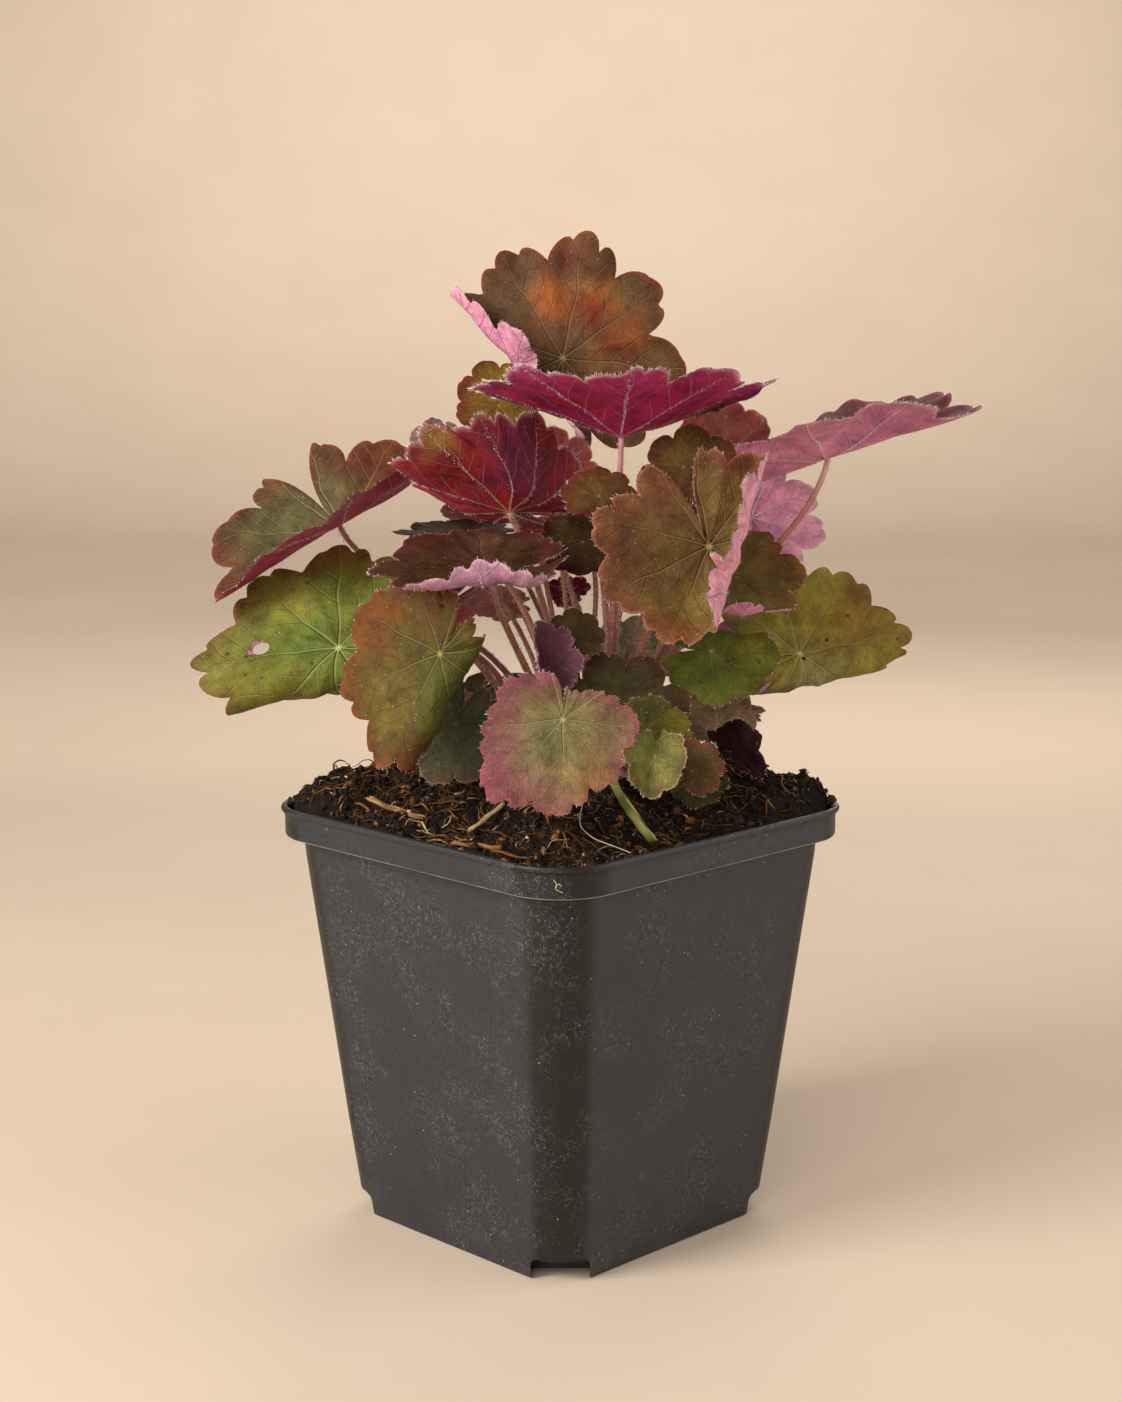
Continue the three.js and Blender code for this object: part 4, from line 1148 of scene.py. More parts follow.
@dataclass
class Leaf:
    """A lobed blade on its stalk.

    at is where they meet; length runs from there to the tip; face is the compass direction and elevation of
    the upper side's normal and the turn of the tip from downhill. side, base, lobes, grow and sinus shape the
    outline; folds are [direction, offset, angle, radius] of bend lines; cone and wave raise the blade; bow
    and reach bend the stalk. spots is how dark the spots are, fringe how thickly the margin is haired, and
    hole the place and half sizes of a hole, along and across.
    """

    name: str
    at: tuple[float, float, float]
    length: float
    face: tuple[float, float, float]
    upper: Tint
    under: Tint
    side: float = 0.88
    base: float = 0.74
    lobes: float = 0.17
    grow: tuple[tuple[float, float], ...] = ()
    folds: tuple[tuple[float, float, float, float], ...] = ()
    sinus: float = 16.0
    cone: float = 0.0
    wave: float = 0.03
    bow: tuple[float, float, float] = (0.0, 0.0, 0.0)
    reach: float = 0.3
    spots: float = 0.0
    fringe: float = 0.3
    hole: tuple[float, ...] = ()
    stalk: str = "94604e"
    slot: str = "leaf_bronze"

    @property
    def small(self) -> bool:
        """Whether the leaf is a small one."""
        return self.length < SMALL_LEAF

    @property
    def neck(self) -> float:
        """The stalk's radius where it meets the blade."""
        return NECK * (0.8 if self.small else 1.0)

    def axes(self) -> np.ndarray:
        """Rows: towards the tip, to the left seen from above, and out of the upper side."""
        compass, rise, spin = (math.radians(v) for v in self.face)
        level = np.array([math.cos(compass), math.sin(compass), 0.0])
        normal = level * math.cos(rise) + UP * math.sin(rise)
        downhill = level * math.sin(rise) - UP * math.cos(rise)
        across = np.cross(normal, downhill)
        tip = downhill * math.cos(spin) + across * math.sin(spin)
        return np.array([tip, np.cross(normal, tip), normal])

    def margin(self, theta: np.ndarray, toothed: float) -> np.ndarray:
        """Distance to the margin as a share of the length.

        An envelope from the tip past the sides to the base, times the local growth, a shallow scallop for
        each lobe, three round teeth on each, and the gap over the stalk.

        Args:
            theta: Directions from the tip.
            toothed: 0 without teeth, 1 with them.

        Returns:
            The distances.
        """
        away = np.abs(theta)
        front = self.side + (1 - self.side) * np.cos(np.minimum(away, math.pi / 2)) ** 3
        back = self.side - (self.side - self.base) * (1 - np.cos((away - math.pi / 2) * 2)) / 2
        reach = np.where(away < math.pi / 2, front, back)
        swell = np.ones_like(theta)
        for direction, share in self.grow:
            gap = (np.degrees(theta) - direction + 180) % 360 - 180
            swell += share * np.exp(-((gap / 26) ** 2))
        phase = (theta / LOBE + 0.5) % 1 - 0.5
        lobe = 1 - self.lobes * (0.5 + 0.5 * toothed) * (1 - np.abs(np.cos(math.pi * phase)) ** 0.8)
        uneven = 0.7 + 0.5 * np.sin(theta * 7.3 + self.length)
        tooth = 1 - 0.115 * toothed * uneven * (1 - np.abs(np.cos(3 * math.pi * phase)) ** 0.45)
        opened = np.clip((math.pi - away) / math.radians(self.sinus), 0, 1)
        return np.maximum(reach * swell * lobe * tooth * opened**0.45, 2.6 * self.neck / self.length)

    def sheet(self, theta: np.ndarray, share: np.ndarray) -> tuple[np.ndarray, np.ndarray]:
        """The blade's middle surface.

        A flat polar grid, raised by cone, ripples and the quilting between the veins, then turned round each
        fold line in order.

        Args:
            theta: Directions from the tip.
            share: Shares of the way from the stalk to the margin.

        Returns:
            Places in the plant's axes, and the flat distances from the stalk.
        """
        smooth = self.margin(theta, 0.0)
        cut = self.margin(theta, 0.5 if self.small else 1.0)
        core = 1.1 * self.neck / self.length * np.minimum(share * 12, 1)
        rim = smooth + (cut - smooth) * share**2
        out = core + (rim - core) * share
        phase = (theta / LOBE + 0.5) % 1 - 0.5
        quilt = 0.02 * np.sin(math.pi * share) * (1 - np.abs(np.cos(math.pi * phase)))
        ripple = self.wave * out**2 * np.sin(5 * theta)
        fine = 0.012 * share**3 * np.sin(13 * theta + self.length) + 0.006 * share**2 * np.sin(27 * theta)
        x, y = out * np.cos(theta), out * np.sin(theta)
        puckers = PUCKERS.layered(x + self.at[0], y + self.at[2], 0.3, 2) * np.minimum(share * 4, 1)
        z = self.cone * out + ripple + quilt + fine + 0.016 * puckers
        for fold in self.folds:
            x, y, z = self._folded(x, y, z, *fold)
        local = np.stack([x, y, z], axis=-1) * self.length
        return local @ self.axes() + np.array(self.at), out

    @staticmethod
    def _folded(
        x: np.ndarray,
        y: np.ndarray,
        z: np.ndarray,
        direction: float,
        offset: float,
        angle: float,
        radius: float,
    ) -> tuple[np.ndarray, np.ndarray, np.ndarray]:
        """Points bent round a line square to a direction.

        Args:
            x: First coordinates, in leaf lengths like the others.
            y: Second coordinates.
            z: Heights.
            direction: Direction from the stalk in degrees.
            offset: Distance of the line from the stalk.
            angle: How far the rest turns, in degrees, towards the upper side if positive.
            radius: Radius of the bend.

        Returns:
            The three coordinates.
        """
        dx, dy = math.cos(math.radians(direction)), math.sin(math.radians(direction))
        most = abs(math.radians(angle))
        past = x * dx + y * dy - offset
        bent = past > 0
        height = z * np.sign(angle)
        turn = np.clip(past / radius, 0, most)
        rest = np.maximum(0, past - radius * most)
        along = radius * np.sin(turn) + rest * math.cos(most) - height * np.sin(turn)
        up = radius * (1 - np.cos(turn)) + rest * math.sin(most) + height * np.cos(turn)
        x = np.where(bent, x + (along - past) * dx, x)
        y = np.where(bent, y + (along - past) * dy, y)
        return x, y, np.where(bent, up * np.sign(angle), z)

    def normals(self, theta: np.ndarray, share: np.ndarray) -> np.ndarray:
        """Normals of the middle surface on its upper side, from small steps in both parameters."""
        inner, ring = np.maximum(share - 0.02, 0.02), np.maximum(share, 0.05)
        outward = self.sheet(theta, inner + 0.02)[0] - self.sheet(theta, inner)[0]
        around = self.sheet(theta + 0.02, ring)[0] - self.sheet(theta - 0.02, ring)[0]
        return unit(np.cross(outward, around))

    def blade(self) -> Skin:
        """The closed blade: the upper sheet, the same sheet facing down, and the rim between them."""
        columns = 120 if self.small else 208
        shares = np.concatenate([[0.03], np.linspace(0.08, 0.92, 13), [0.95, 0.975, 0.99, 1.0]])
        turn = -math.pi + np.arange(columns) * TAU / columns
        share, theta = np.meshgrid(shares, turn, indexing="ij")
        middle, out = self.sheet(theta, share)
        half = BLADE_HALF * (1 - 0.45 * smoothstep(share, 0.9, 1.0))[..., None]
        shift = self.normals(theta, share) * half
        flat = (out[..., None] * circle(theta)).reshape(-1, 2)
        plan = 0.5 + PLAN_SHARE * np.concatenate([[[0.0, 0.0]], flat])
        sides = []
        for tint, sense, veined, spots in ((self.upper, 1.0, 0.38, self.spots), (self.under, -1.0, 0.9, 0.0)):
            centre = np.array(self.at) + self.axes()[2] * BLADE_HALF * sense
            points = np.concatenate([centre[None], (middle + shift * sense).reshape(-1, 3)])
            vein = linear(tint.vein)
            paint = np.concatenate([vein[None], tint.paint(theta, out, share).reshape(-1, 3)])
            lines = np.append(vein, tint.vein_strength * veined)
            sides.append(Skin(turned(points), tint=paint, plan=plan, vein=lines, side=sense, spots=spots))
        count = len(sides[0].points)
        quads = ring_quads(len(shares), columns)[:, [0, 3, 2, 1]] + 1
        fan = ring_fan(0, 1, columns)
        outer = ring_fan(0, count - columns, columns)[:, 1:]
        rim = np.column_stack([outer[:, 0], outer + count, outer[:, 1]])
        both = Skin.joined(sides)
        both.quads = np.concatenate([quads, quads[:, ::-1] + count, rim])
        both.tris = np.concatenate([fan, fan[:, ::-1] + count])
        both.slots = np.zeros(len(both.quads) + len(both.tris), int)
        return both

    def punch(self) -> np.ndarray:
        """Two rings of an oval prism through the blade where its hole is."""
        along, across, half_along, half_across = self.hole
        tip, left, normal = self.axes()
        turn = np.arange(28)[:, None] * math.pi / 14
        edge = tip * (along + half_along * np.cos(turn)) + left * (across + half_across * np.sin(turn))
        middle = np.array(self.at) + edge
        return turned(np.array([middle - normal * 2.5, middle + normal * 2.5]))

    def heal(self, piece: bpy.types.Object) -> None:
        """Gives the new points round the hole the values of the nearest old point on the same side."""
        mesh = piece.data
        count = len(mesh.vertices)
        flat = np.zeros(count * 3)
        mesh.vertices.foreach_get("co", flat)
        local = (turned(flat.reshape(-1, 3) / MM, -VIEW_TURN) - self.at) @ self.axes().T
        along, across, half_along, half_across = self.hole
        share = np.hypot((local[:, 0] - along) / half_along, (local[:, 1] - across) / half_across)
        new = np.flatnonzero(np.abs(share - 1) < 0.06)
        old = np.flatnonzero((share > 1.06) & (share < 2.5))
        side = np.zeros(count)
        mesh.attributes["side"].data.foreach_get("value", side)
        sign = np.where(local[new, 2] > np.median(local[old, 2]), 1.0, -1.0)
        gap = np.linalg.norm(local[new][:, None, :2] - local[old][None, :, :2], axis=-1)
        source = old[np.argmin(gap + 50 * (np.sign(side[old])[None] != sign[:, None]), axis=1)]
        for name, (_, kind, width) in ATTRIBUTES.items():
            values = np.zeros(count * width)
            mesh.attributes[name].data.foreach_get(kind, values)
            values = values.reshape(count, width)
            values[new] = values[source]
            mesh.attributes[name].data.foreach_set(kind, values.ravel())

    def stalk_path(self, foot: np.ndarray, share: np.ndarray) -> np.ndarray:
        """The stalk's middle line: a cubic curve straight up from the foot, outwards, and into the blade."""
        tip, _, normal = self.axes()
        join = np.array(self.at) - normal * 0.1
        span = np.linalg.norm(join - foot)
        arrive = unit(tip * 0.45 + normal * 0.8)
        bow = np.array(self.bow)
        first = foot + unit(join - foot) * span * 0.12 + UP * span * 0.3 + bow
        second = join - arrive * span * self.reach + bow
        t = share[:, None]
        return (1 - t) ** 3 * foot + 3 * (1 - t) ** 2 * t * first + 3 * (1 - t) * t**2 * second + t**3 * join

    def stalk_radius(self, share: np.ndarray, slim: float) -> np.ndarray:
        """The stalk's radius at shares of the way up, times slim."""
        return (FOOT + (NECK - FOOT) * share) * slim * (self.neck / NECK)

    def stalk_skin(self, foot: np.ndarray) -> Skin:
        """The stalk as a tube, wider where it clasps the rootstock and reddened where it meets the blade."""
        share = np.linspace(0, 1, 30)
        path = self.stalk_path(foot, share)
        path = np.concatenate([path[:1] - [0, 0, 1.2], path])
        share = np.concatenate([[-0.02], share])
        radius = self.stalk_radius(share, STALK_SLIM) * (1 + 0.35 * np.exp(-np.maximum(share, 0) * 16))
        radius *= 1 + 0.04 * np.sin(share * 23 + self.length)
        rise = smoothstep(share, 0.82, 1.0)[:, None] * 0.6
        tints = linear(self.stalk) * (1 - rise) + linear(self.under.vein) * rise
        tints = tints * (0.85 + 0.15 * smoothstep(share, 0.0, 0.35))[:, None]
        skin = tube(path, radius, radius * 0.93, 10, -self.axes()[0] + 1e-3, tints, slot=1)
        skin.points = turned(skin.points)
        return skin

    def hairs(self, foot: np.ndarray, part: Part, rng: np.random.Generator) -> Skin:
        """Hairs on one part of the leaf.

        Args:
            foot: The stalk's foot.
            part: Where they grow.
            rng: Source of the random draws.

        Returns:
            The hairs' skin.
        """
        if part is Part.MARGIN:
            count = int(self.length * MARGIN_HAIRS * self.fringe)
            theta = rng.uniform(-math.pi, math.pi, count)
            roots, _ = self.sheet(theta, np.ones(count))
            inner, _ = self.sheet(theta, np.full(count, 0.9))
            ways = unit(roots - inner) + rng.normal(0, 0.35, (count, 3))
            lengths = rng.uniform(0.3, 0.6 + 0.6 * self.fringe, count)
            tint = linear(self.under.rim) * 0.25 + 0.75
        elif part is Part.VEIN:
            count = int(self.length * VEIN_HAIRS)
            theta = rng.integers(-4, 5, count) * LOBE + rng.normal(0, 0.012, count)
            share = rng.uniform(0.05, 0.95, count) ** 0.8
            normals = self.normals(theta, share)
            roots = self.sheet(theta, share)[0] - normals * 0.2
            ways = -normals + rng.normal(0, 0.4, (count, 3))
            lengths = rng.uniform(0.3, 0.75, count)
            tint = linear(self.under.vein) * 0.3 + 0.66
        else:
            count = int(np.linalg.norm(np.array(self.at) - foot) * STALK_HAIRS)
            share = np.sort(rng.uniform(0.02, 0.99, count))
            path = self.stalk_path(foot, share)
            along = unit(self.stalk_path(foot, share + 0.01) - path)
            across = unit(np.cross(along, rng.normal(0, 1, (count, 3))))
            roots = path + across * self.stalk_radius(share, STALK_HAIR_ROOT)[:, None]
            ways = across + rng.normal(0, 0.25, (count, 3))
            lengths = rng.uniform(0.35, 1.15, count)
            tint = np.array([0.74, 0.6, 0.56])
        made = spikes(roots, unit(ways), lengths, 0.05, tint)
        made.points = turned(made.points)
        return made


def stalk_feet(leaves: list[Leaf]) -> dict[str, np.ndarray]:
    """The foot of each stalk.

    The steepest leaves take the inner ring, the flattest the outer one. On each ring the feet lie in their
    leaves' directions and are pushed apart until they have room.

    Args:
        leaves: All the leaves.

    Returns:
        Places by leaf name.
    """
    seen = []
    for leaf in leaves:
        x, y, z = np.subtract(leaf.at, (CROWN_X, CROWN_Y, CROWN_STEPS[0][1]))
        seen.append([leaf.name, math.atan2(y, x), math.atan2(z, math.hypot(x, y))])
    seen.sort(key=lambda row: -row[2])
    feet: dict[str, np.ndarray] = {}
    taken = 0
    for ring, top, room in CROWN_STEPS:
        group = sorted(seen[taken : taken + room], key=lambda row: row[1])
        taken += room
        least = STALK_SPACING / ring
        for _ in range(400):
            for i, row in enumerate(group):
                after = group[(i + 1) % len(group)]
                wrap = 0 if i + 1 < len(group) else TAU
                short = least - (after[1] + wrap - row[1])
                if short > 0 and len(group) > 1:
                    row[1] -= short / 2
                    after[1] += short / 2
        for name, turn, _ in group:
            x, y = CROWN_X + ring * math.cos(turn), CROWN_Y + ring * math.sin(turn)
            feet[name] = np.array([x, y, top + 0.3])
    return feet


GREEN = Tint(
    "5f6c22", "a3a860", "7a4030", 0.6, "6b5a26",
    (Mark(40, 0.5, 0.3, "8b8226", 0.6), Mark(-60, 0.4, 0.25, "46601c", 0.7)),
)
OLIVE = Tint("67602a", "a09a58", "7c4a34", 0.6, "66451f", (Mark(30, 0.5, 0.35, "7d6f2c", 0.6),))
BRONZE = Tint(
    "54391d", "8a7446", "7b2f2a", 0.5, "5b2b1a",
    (Mark(20, 0.5, 0.3, "6b4f24", 0.7), Mark(-70, 0.5, 0.3, "41301c", 0.7)),
)
DARK = Tint("3c2c18", "77663e", "6e2f2c", 0.45, "43201a", (Mark(-30, 0.4, 0.35, "4a3d1e", 0.7),))
WINE = Tint("42101a", "8c3c4c", "a05664", 0.5, "521620", (Mark(0, 0.3, 0.3, "30101a", 0.6),))
PINK_UNDER = Tint("b8739c", "e8c8d8", "ecc4d4", 0.6, "c88cb2", (Mark(40, 0.5, 0.3, "a05a88", 0.6),))
ROSE_UNDER = Tint("b0627c", "e2aebc", "e6b8c0", 0.6, "c07890")
MAGENTA_UNDER = Tint("8a1f42", "cf7f98", "d98fa6", 0.75, "9b2c50", (Mark(30, 0.4, 0.3, "741636", 0.7),))
CRIMSON_UNDER = Tint("7a2230", "b0705e", "c07a80", 0.7, "8e2a30")
RED_UNDER = Tint("a05a54", "d09a8c", "d8a49a", 0.6, "a8504a", (Mark(30, 0.5, 0.3, "8a4448", 0.6),))
GREEN_UNDER = Tint("6c5a44", "94886a", "a07874", 0.5, "7a5a50")

LEAVES = [
    Leaf(
        "leaf_top_bronze", (0.5, 18, 179), 27.5, (-90, 12, 168),
        Tint(
            "5e4029", "988c62", "8c3a2c", 0.7, "523522",
            (
                Mark(25, 0.45, 0.16, "9a4a24"), Mark(-15, 0.5, 0.17, "8f3f20"),
                Mark(-60, 0.5, 0.2, "7c3c22"), Mark(5, 0.85, 0.16, "6c4630"), Mark(60, 0.6, 0.2, "5c4a32"),
                Mark(0, 0.6, 0.1, "6e5236"),
            ),
        ),
        Tint("c985a4", "9c4a78", "e6b4c4", 0.6, "d896b2"), base=0.85, lobes=0.22,
        grow=((80, 0.2), (-90, 0.08), (165, -0.5)), folds=((145, 0.2, 122, 0.12),), bow=(5, 0, 0),
        fringe=0.5,
    ),
    Leaf(
        "leaf_high_magenta", (12, -15, 164.5), 31, (90, 79, 182), BRONZE,
        Tint(
            "92234c", "d48cac", "e8b0c8", 0.6, "a8386a",
            (Mark(180, 0.45, 0.3, "7a163e", 0.6), Mark(112, 1.02, 0.15, "6e3c52")),
        ),
        side=0.95, base=0.8, cone=0.34, grow=((120, 0.2), (0, -0.14)), folds=((118, 0.88, 62, 0.1),),
        fringe=1.3, stalk="b87a7c", slot="leaf_magenta",
    ),
    Leaf(
        "leaf_right_long", (55, 6, 159), 33, (163, 72, 180), WINE,
        Tint(
            "c87e9e", "f0ccd8", "ecc4d4", 0.7, "c4749a",
            (Mark(90, 0.6, 0.3, "dc9cb8"), Mark(-20, 0.6, 0.3, "a85e84")),
        ),
        folds=((-90, 0.05, 19, 0.2), (90, 0.05, 22, 0.2)), fringe=0.9, stalk="a86c5c", slot="leaf_crimson",
    ),
    Leaf(
        "leaf_right_pink", (41.5, 31, 144.5), 16.5, (75, 20, -75), OLIVE,
        Tint("e09abc", "fae6ee", "f4d4e0", 0.8, "e8acca"), base=0.5, fringe=0.9, slot="leaf_rose",
    ),
    Leaf(
        "leaf_crimson_fan", (-10, -12, 149.5), 27, (95, 58, 140), BRONZE,
        Tint(
            "7e2034", "b88a70", "cc8c94", 0.75, "8c2c38",
            (
                Mark(-80, 0.6, 0.45, "a63446", 0.9), Mark(70, 0.5, 0.35, "5a2440"),
                Mark(0, 0.9, 0.16, "7e6a2c"),
            ),
        ),
        cone=0.28, lobes=0.12, folds=((90, 0.15, 60, 0.25), (-100, 0.35, 26, 0.25)), bow=(0, 8, 0),
        reach=0.18, fringe=0.9, stalk="9a6658", slot="leaf_crimson",
    ),
    Leaf(
        "leaf_olive_small", (-13, 21, 169), 10.5, (-90, 20, 200),
        Tint("6e4c1c", "96803c", "7c2c24", 0.5, "622c18", (Mark(-20, 0.4, 0.4, "7c6a24"),)), PINK_UNDER,
        bow=(0, 8, 0), slot="leaf_olive",
    ),
    Leaf(
        "leaf_red_back_left", (-1.5, 12, 154.5), 11.5, (90, 20, 180), BRONZE, RED_UNDER, bow=(0, 6, 0),
        reach=0.18, slot="leaf_crimson",
    ),
    Leaf(
        "leaf_red_back_right", (35.5, 34, 157), 14, (90, 20, 180), BRONZE, RED_UNDER, bow=(-5, 0, 0),
        slot="leaf_crimson",
    ),
    Leaf(
        "leaf_bronze_upper", (26, -16, 155.5), 12.5, (-90, 25, 180),
        Tint("4f331a", "6e6136", "6b2a20", 0.5, "52261a", (Mark(0, 0.4, 0.4, "5e4a22"),)), ROSE_UNDER,
    ),
    Leaf(
        "leaf_front_bronze", (28.5, -30, 144.5), 25, (-90, 15, 20),
        Tint(
            "5e4a26", "9a8a58", "a86a5c", 0.5, "6a3c26",
            (
                Mark(-100, 0.5, 0.35, "4a2c18"), Mark(0, 0.6, 0.3, "7d6a34"),
                Mark(60, 0.5, 0.3, "bc9a50", 0.8), Mark(-150, 0.6, 0.3, "5c3a24"),
                Mark(0, 0.0, 0.14, "3a1814", 0.6),
            ),
        ),
        Tint("d898ac", "c07890", "ecc4cc", 0.5), base=0.8, grow=((5, -0.16), (-115, 0.1)),
        folds=((55, 0.14, 103, 0.1), (-10, 0.2, 35, 0.4)),
    ),
    Leaf("leaf_bronze_bud", (7.5, -23, 153.5), 8.5, (-90, 50, 180), BRONZE, ROSE_UNDER, bow=(5, 0, 0)),
    Leaf(
        "leaf_left_folded", (-46, 10, 145), 27, (-160, 62, 90),
        Tint(
            "5c5236", "aea282", "904a40", 0.8, "582e1c",
            (Mark(0, 0.25, 0.3, "726c4e"), Mark(120, 0.7, 0.4, "5a2417"), Mark(-140, 0.6, 0.3, "4c4a2c")),
        ),
        Tint("a23c5c", "cf8a9c", "d890a0", 0.6), side=0.98, base=0.92, grow=((-95, 0.2),),
        folds=((180, 0.03, 40, 0.2), (0, 0.03, 20, 0.2)), bow=(0, -8, 0), reach=0.18,
    ),
    Leaf(
        "leaf_left_green", (-44.5, -11, 122), 32, (-110, 40, -80),
        Tint(
            "555c22", "a0a86c", "84483c", 0.8, "625022",
            (
                Mark(30, 0.5, 0.25, "6b6826"), Mark(-40, 0.45, 0.2, "74702c"), Mark(0, 0.8, 0.2, "747238"),
                Mark(-80, 0.85, 0.22, "6a4424"), Mark(-20, 0.2, 0.2, "52682a"),
            ),
        ),
        PINK_UNDER, side=0.82, base=0.45, grow=((140, -0.5),), folds=((98, 0.06, -125, 0.12),), spots=0.6,
        hole=(17.3, -2.2, 1.95, 1.5), slot="leaf_olive",
    ),
    Leaf(
        "leaf_left_hanging", (-23, -32, 124), 25.5, (-120, 15, -25),
        Tint(
            "4a4218", "8c8650", "843c34", 0.75, "5a3a1a",
            (
                Mark(-80, 0.7, 0.3, "6e3818"), Mark(60, 0.4, 0.35, "4a5426"),
                Mark(-20, 0.6, 0.25, "665624"), Mark(-150, 0.5, 0.3, "58301a"),
            ),
        ),
        PINK_UNDER, base=0.45, grow=((90, -0.45), (140, -0.4)), folds=((90, 0.05, -125, 0.13),),
        bow=(-3, 8, 0), spots=0.8, slot="leaf_olive",
    ),
    Leaf(
        "leaf_left_flat", (-14, -28, 140), 23, (-90, 78, -87),
        Tint(
            "3c2616", "7c6446", "7c4440", 0.5, "46241a",
            (Mark(-90, 0.5, 0.3, "553c2a"), Mark(60, 0.6, 0.2, "66602a")),
        ),
        Tint("98687e", "cca8b6", "d8a8b8", 0.6, "a47c94"), side=0.82, lobes=0.1,
        folds=((175, 0.35, 30, 0.2), (90, 0.45, 100, 0.15), (-90, 0.2, 12, 0.3)), bow=(-5, 0, 0),
        slot="leaf_dark",
    ),
    Leaf(
        "leaf_left_under", (-19.5, 11.5, 142), 15.5, (-90, 82, -88), DARK,
        Tint("46302a", "8c6a5e", "a07c80", 0.6), side=0.8, cone=0.1, bow=(5, 0, 0), reach=0.18,
        slot="leaf_dark",
    ),
    Leaf(
        "leaf_low_grey", (-21, -14, 107), 13, (-100, 15, -20),
        Tint("434734", "6c6e54", "8c6c5c", 0.5, "52402c"), ROSE_UNDER, slot="leaf_dark",
    ),
    Leaf(
        "leaf_front_low", (0.5, -42, 113), 18.5, (-90, 10, 0),
        Tint(
            "705a44", "a2a66c", "a04e64", 0.75, "824850",
            (
                Mark(0, 0.2, 0.5, "6c6c44", 0.8), Mark(-50, 0.95, 0.4, "864a5a"),
                Mark(24, 0.75, 0.3, "86663f"), Mark(-125, 0.7, 0.3, "74404a"),
                Mark(-84, 0.86, 0.08, "5c2c14"),
            ),
        ),
        ROSE_UNDER, side=0.8, base=0.55, lobes=0.11,
        grow=((-50, 0.3), (130, -0.3), (30, -0.08), (168, -0.4)), sinus=5, bow=(-5, 0, -6), reach=0.18,
        spots=0.2,
    ),
    Leaf(
        "leaf_low_bronze", (13, -19, 107.5), 16, (-90, 20, 200),
        Tint(
            "413a20", "74744a", "5c2a22", 0.6, "44281c",
            (Mark(30, 0.5, 0.35, "5a5430"), Mark(-40, 0.4, 0.3, "4c4a2a")),
        ),
        ROSE_UNDER, base=0.3, slot="leaf_dark",
    ),
    Leaf(
        "leaf_low_olive", (16.5, -26, 107), 10.5, (-90, 20, 75),
        Tint("564e14", "847e30", "7c3c2c", 0.4, "60581a", (Mark(100, 0.5, 0.4, "33301a"),)), ROSE_UNDER,
        side=0.8, base=0.6, bow=(6, 0, -6), reach=0.1, slot="leaf_olive",
    ),
    Leaf(
        "leaf_low_folded", (18, -40, 105.5), 8.5, (-90, 25, -5),
        Tint("6e6c38", "a8aa6a", "c0a878", 0.6, "5c4c2c"), ROSE_UNDER, base=0.6,
        folds=((90, 0.02, 36, 0.2), (-90, 0.02, 36, 0.2)), bow=(-2, 0, -8), reach=0.1, slot="leaf_olive",
    ),
    Leaf(
        "leaf_low_dark", (25.5, -32, 101), 7, (-90, 25, 140),
        Tint("564428", "8c7a50", "8a4a44", 0.5, "6b3c30"), ROSE_UNDER, base=0.5, bow=(5, 0, 0), reach=0.18,
        slot="leaf_dark",
    ),
    Leaf(
        "leaf_low_green", (27.5, -20, 97.5), 7, (-90, 35, -10), Tint("3f4020", "6c7040", "6c3830", 0.5),
        ROSE_UNDER, base=0.5, slot="leaf_olive",
    ),
    Leaf(
        "leaf_right_green", (50, 8, 118), 27, (-72, 35, 98),
        Tint(
            "80762e", "b8b070", "8c5a40", 0.75, "7c662c",
            (
                Mark(20, 0.6, 0.3, "7c5e24"), Mark(-70, 0.3, 0.25, "86845a"), Mark(60, 0.8, 0.3, "7c7c28"),
                Mark(150, 0.6, 0.3, "6c6a38"),
            ),
        ),
        PINK_UNDER, base=0.6, grow=((-145, -0.35), (-40, 0.06)), folds=((-90, 0.05, -118, 0.14),),
        spots=1.0, slot="leaf_olive",
    ),
    Leaf(
        "leaf_right_dark", (33.5, -5, 136), 17, (-80, 45, 92),
        Tint("62562a", "8a8250", "8a4a3c", 0.5, "6c4826"), Tint("c884a0", "a86080", "e4acc0", 0.5),
        folds=((-90, 0.53, 100, 0.1),), slot="leaf_dark",
    ),
    Leaf(
        "leaf_right_inner", (30.5, -9, 121), 14, (-90, 35, 85),
        Tint("4e561e", "8c9058", "6c4a30", 0.6, "565a20", (Mark(20, 0.7, 0.3, "6c6a1e"),)),
        Tint("6c6a4c", "9a9678", "a8a080", 0.5), folds=((90, 0.25, -100, 0.15),), spots=0.5,
        slot="leaf_olive",
    ),
    Leaf(
        "leaf_dried", (32.5, -2, 105), 10, (-90, 20, 175),
        Tint("9c8262", "c0a888", "b89a80", 0.5, "8c6c52"), Tint("9c8468", "c0a888", "b89a80", 0.5),
        side=0.8, base=0.4, slot="leaf_dry",
    ),
    Leaf(
        "leaf_withered", (34.5, -10, 100.5), 9, (-90, 50, 60), Tint("2e1418", "5c2c34", "4c2028", 0.4),
        Tint("3c1a22", "6c3a44", "5c2c34", 0.4), wave=0.12,
        folds=((60, 0.15, 60, 0.2), (-100, 0.15, 70, 0.2)), slot="leaf_withered",
    ),
    Leaf("leaf_middle_dark", (4.5, -3, 142.5), 10, (-90, 45, -90), DARK, CRIMSON_UNDER, slot="leaf_dark"),
    Leaf(
        "leaf_red_small", (-3, 15.5, 141), 7.2, (90, 30, 90), WINE, Tint("b03048", "e08a9a", "e8a0a8", 0.6),
        base=0.5, bow=(0, 8, 0), slot="leaf_crimson",
    ),
    Leaf(
        "leaf_crimson_young", (2.5, 24, 129), 6, (90, 40, 120), WINE,
        Tint("7c1a34", "b05a70", "c07a8a", 0.5), base=0.5, slot="leaf_crimson",
    ),
    Leaf(
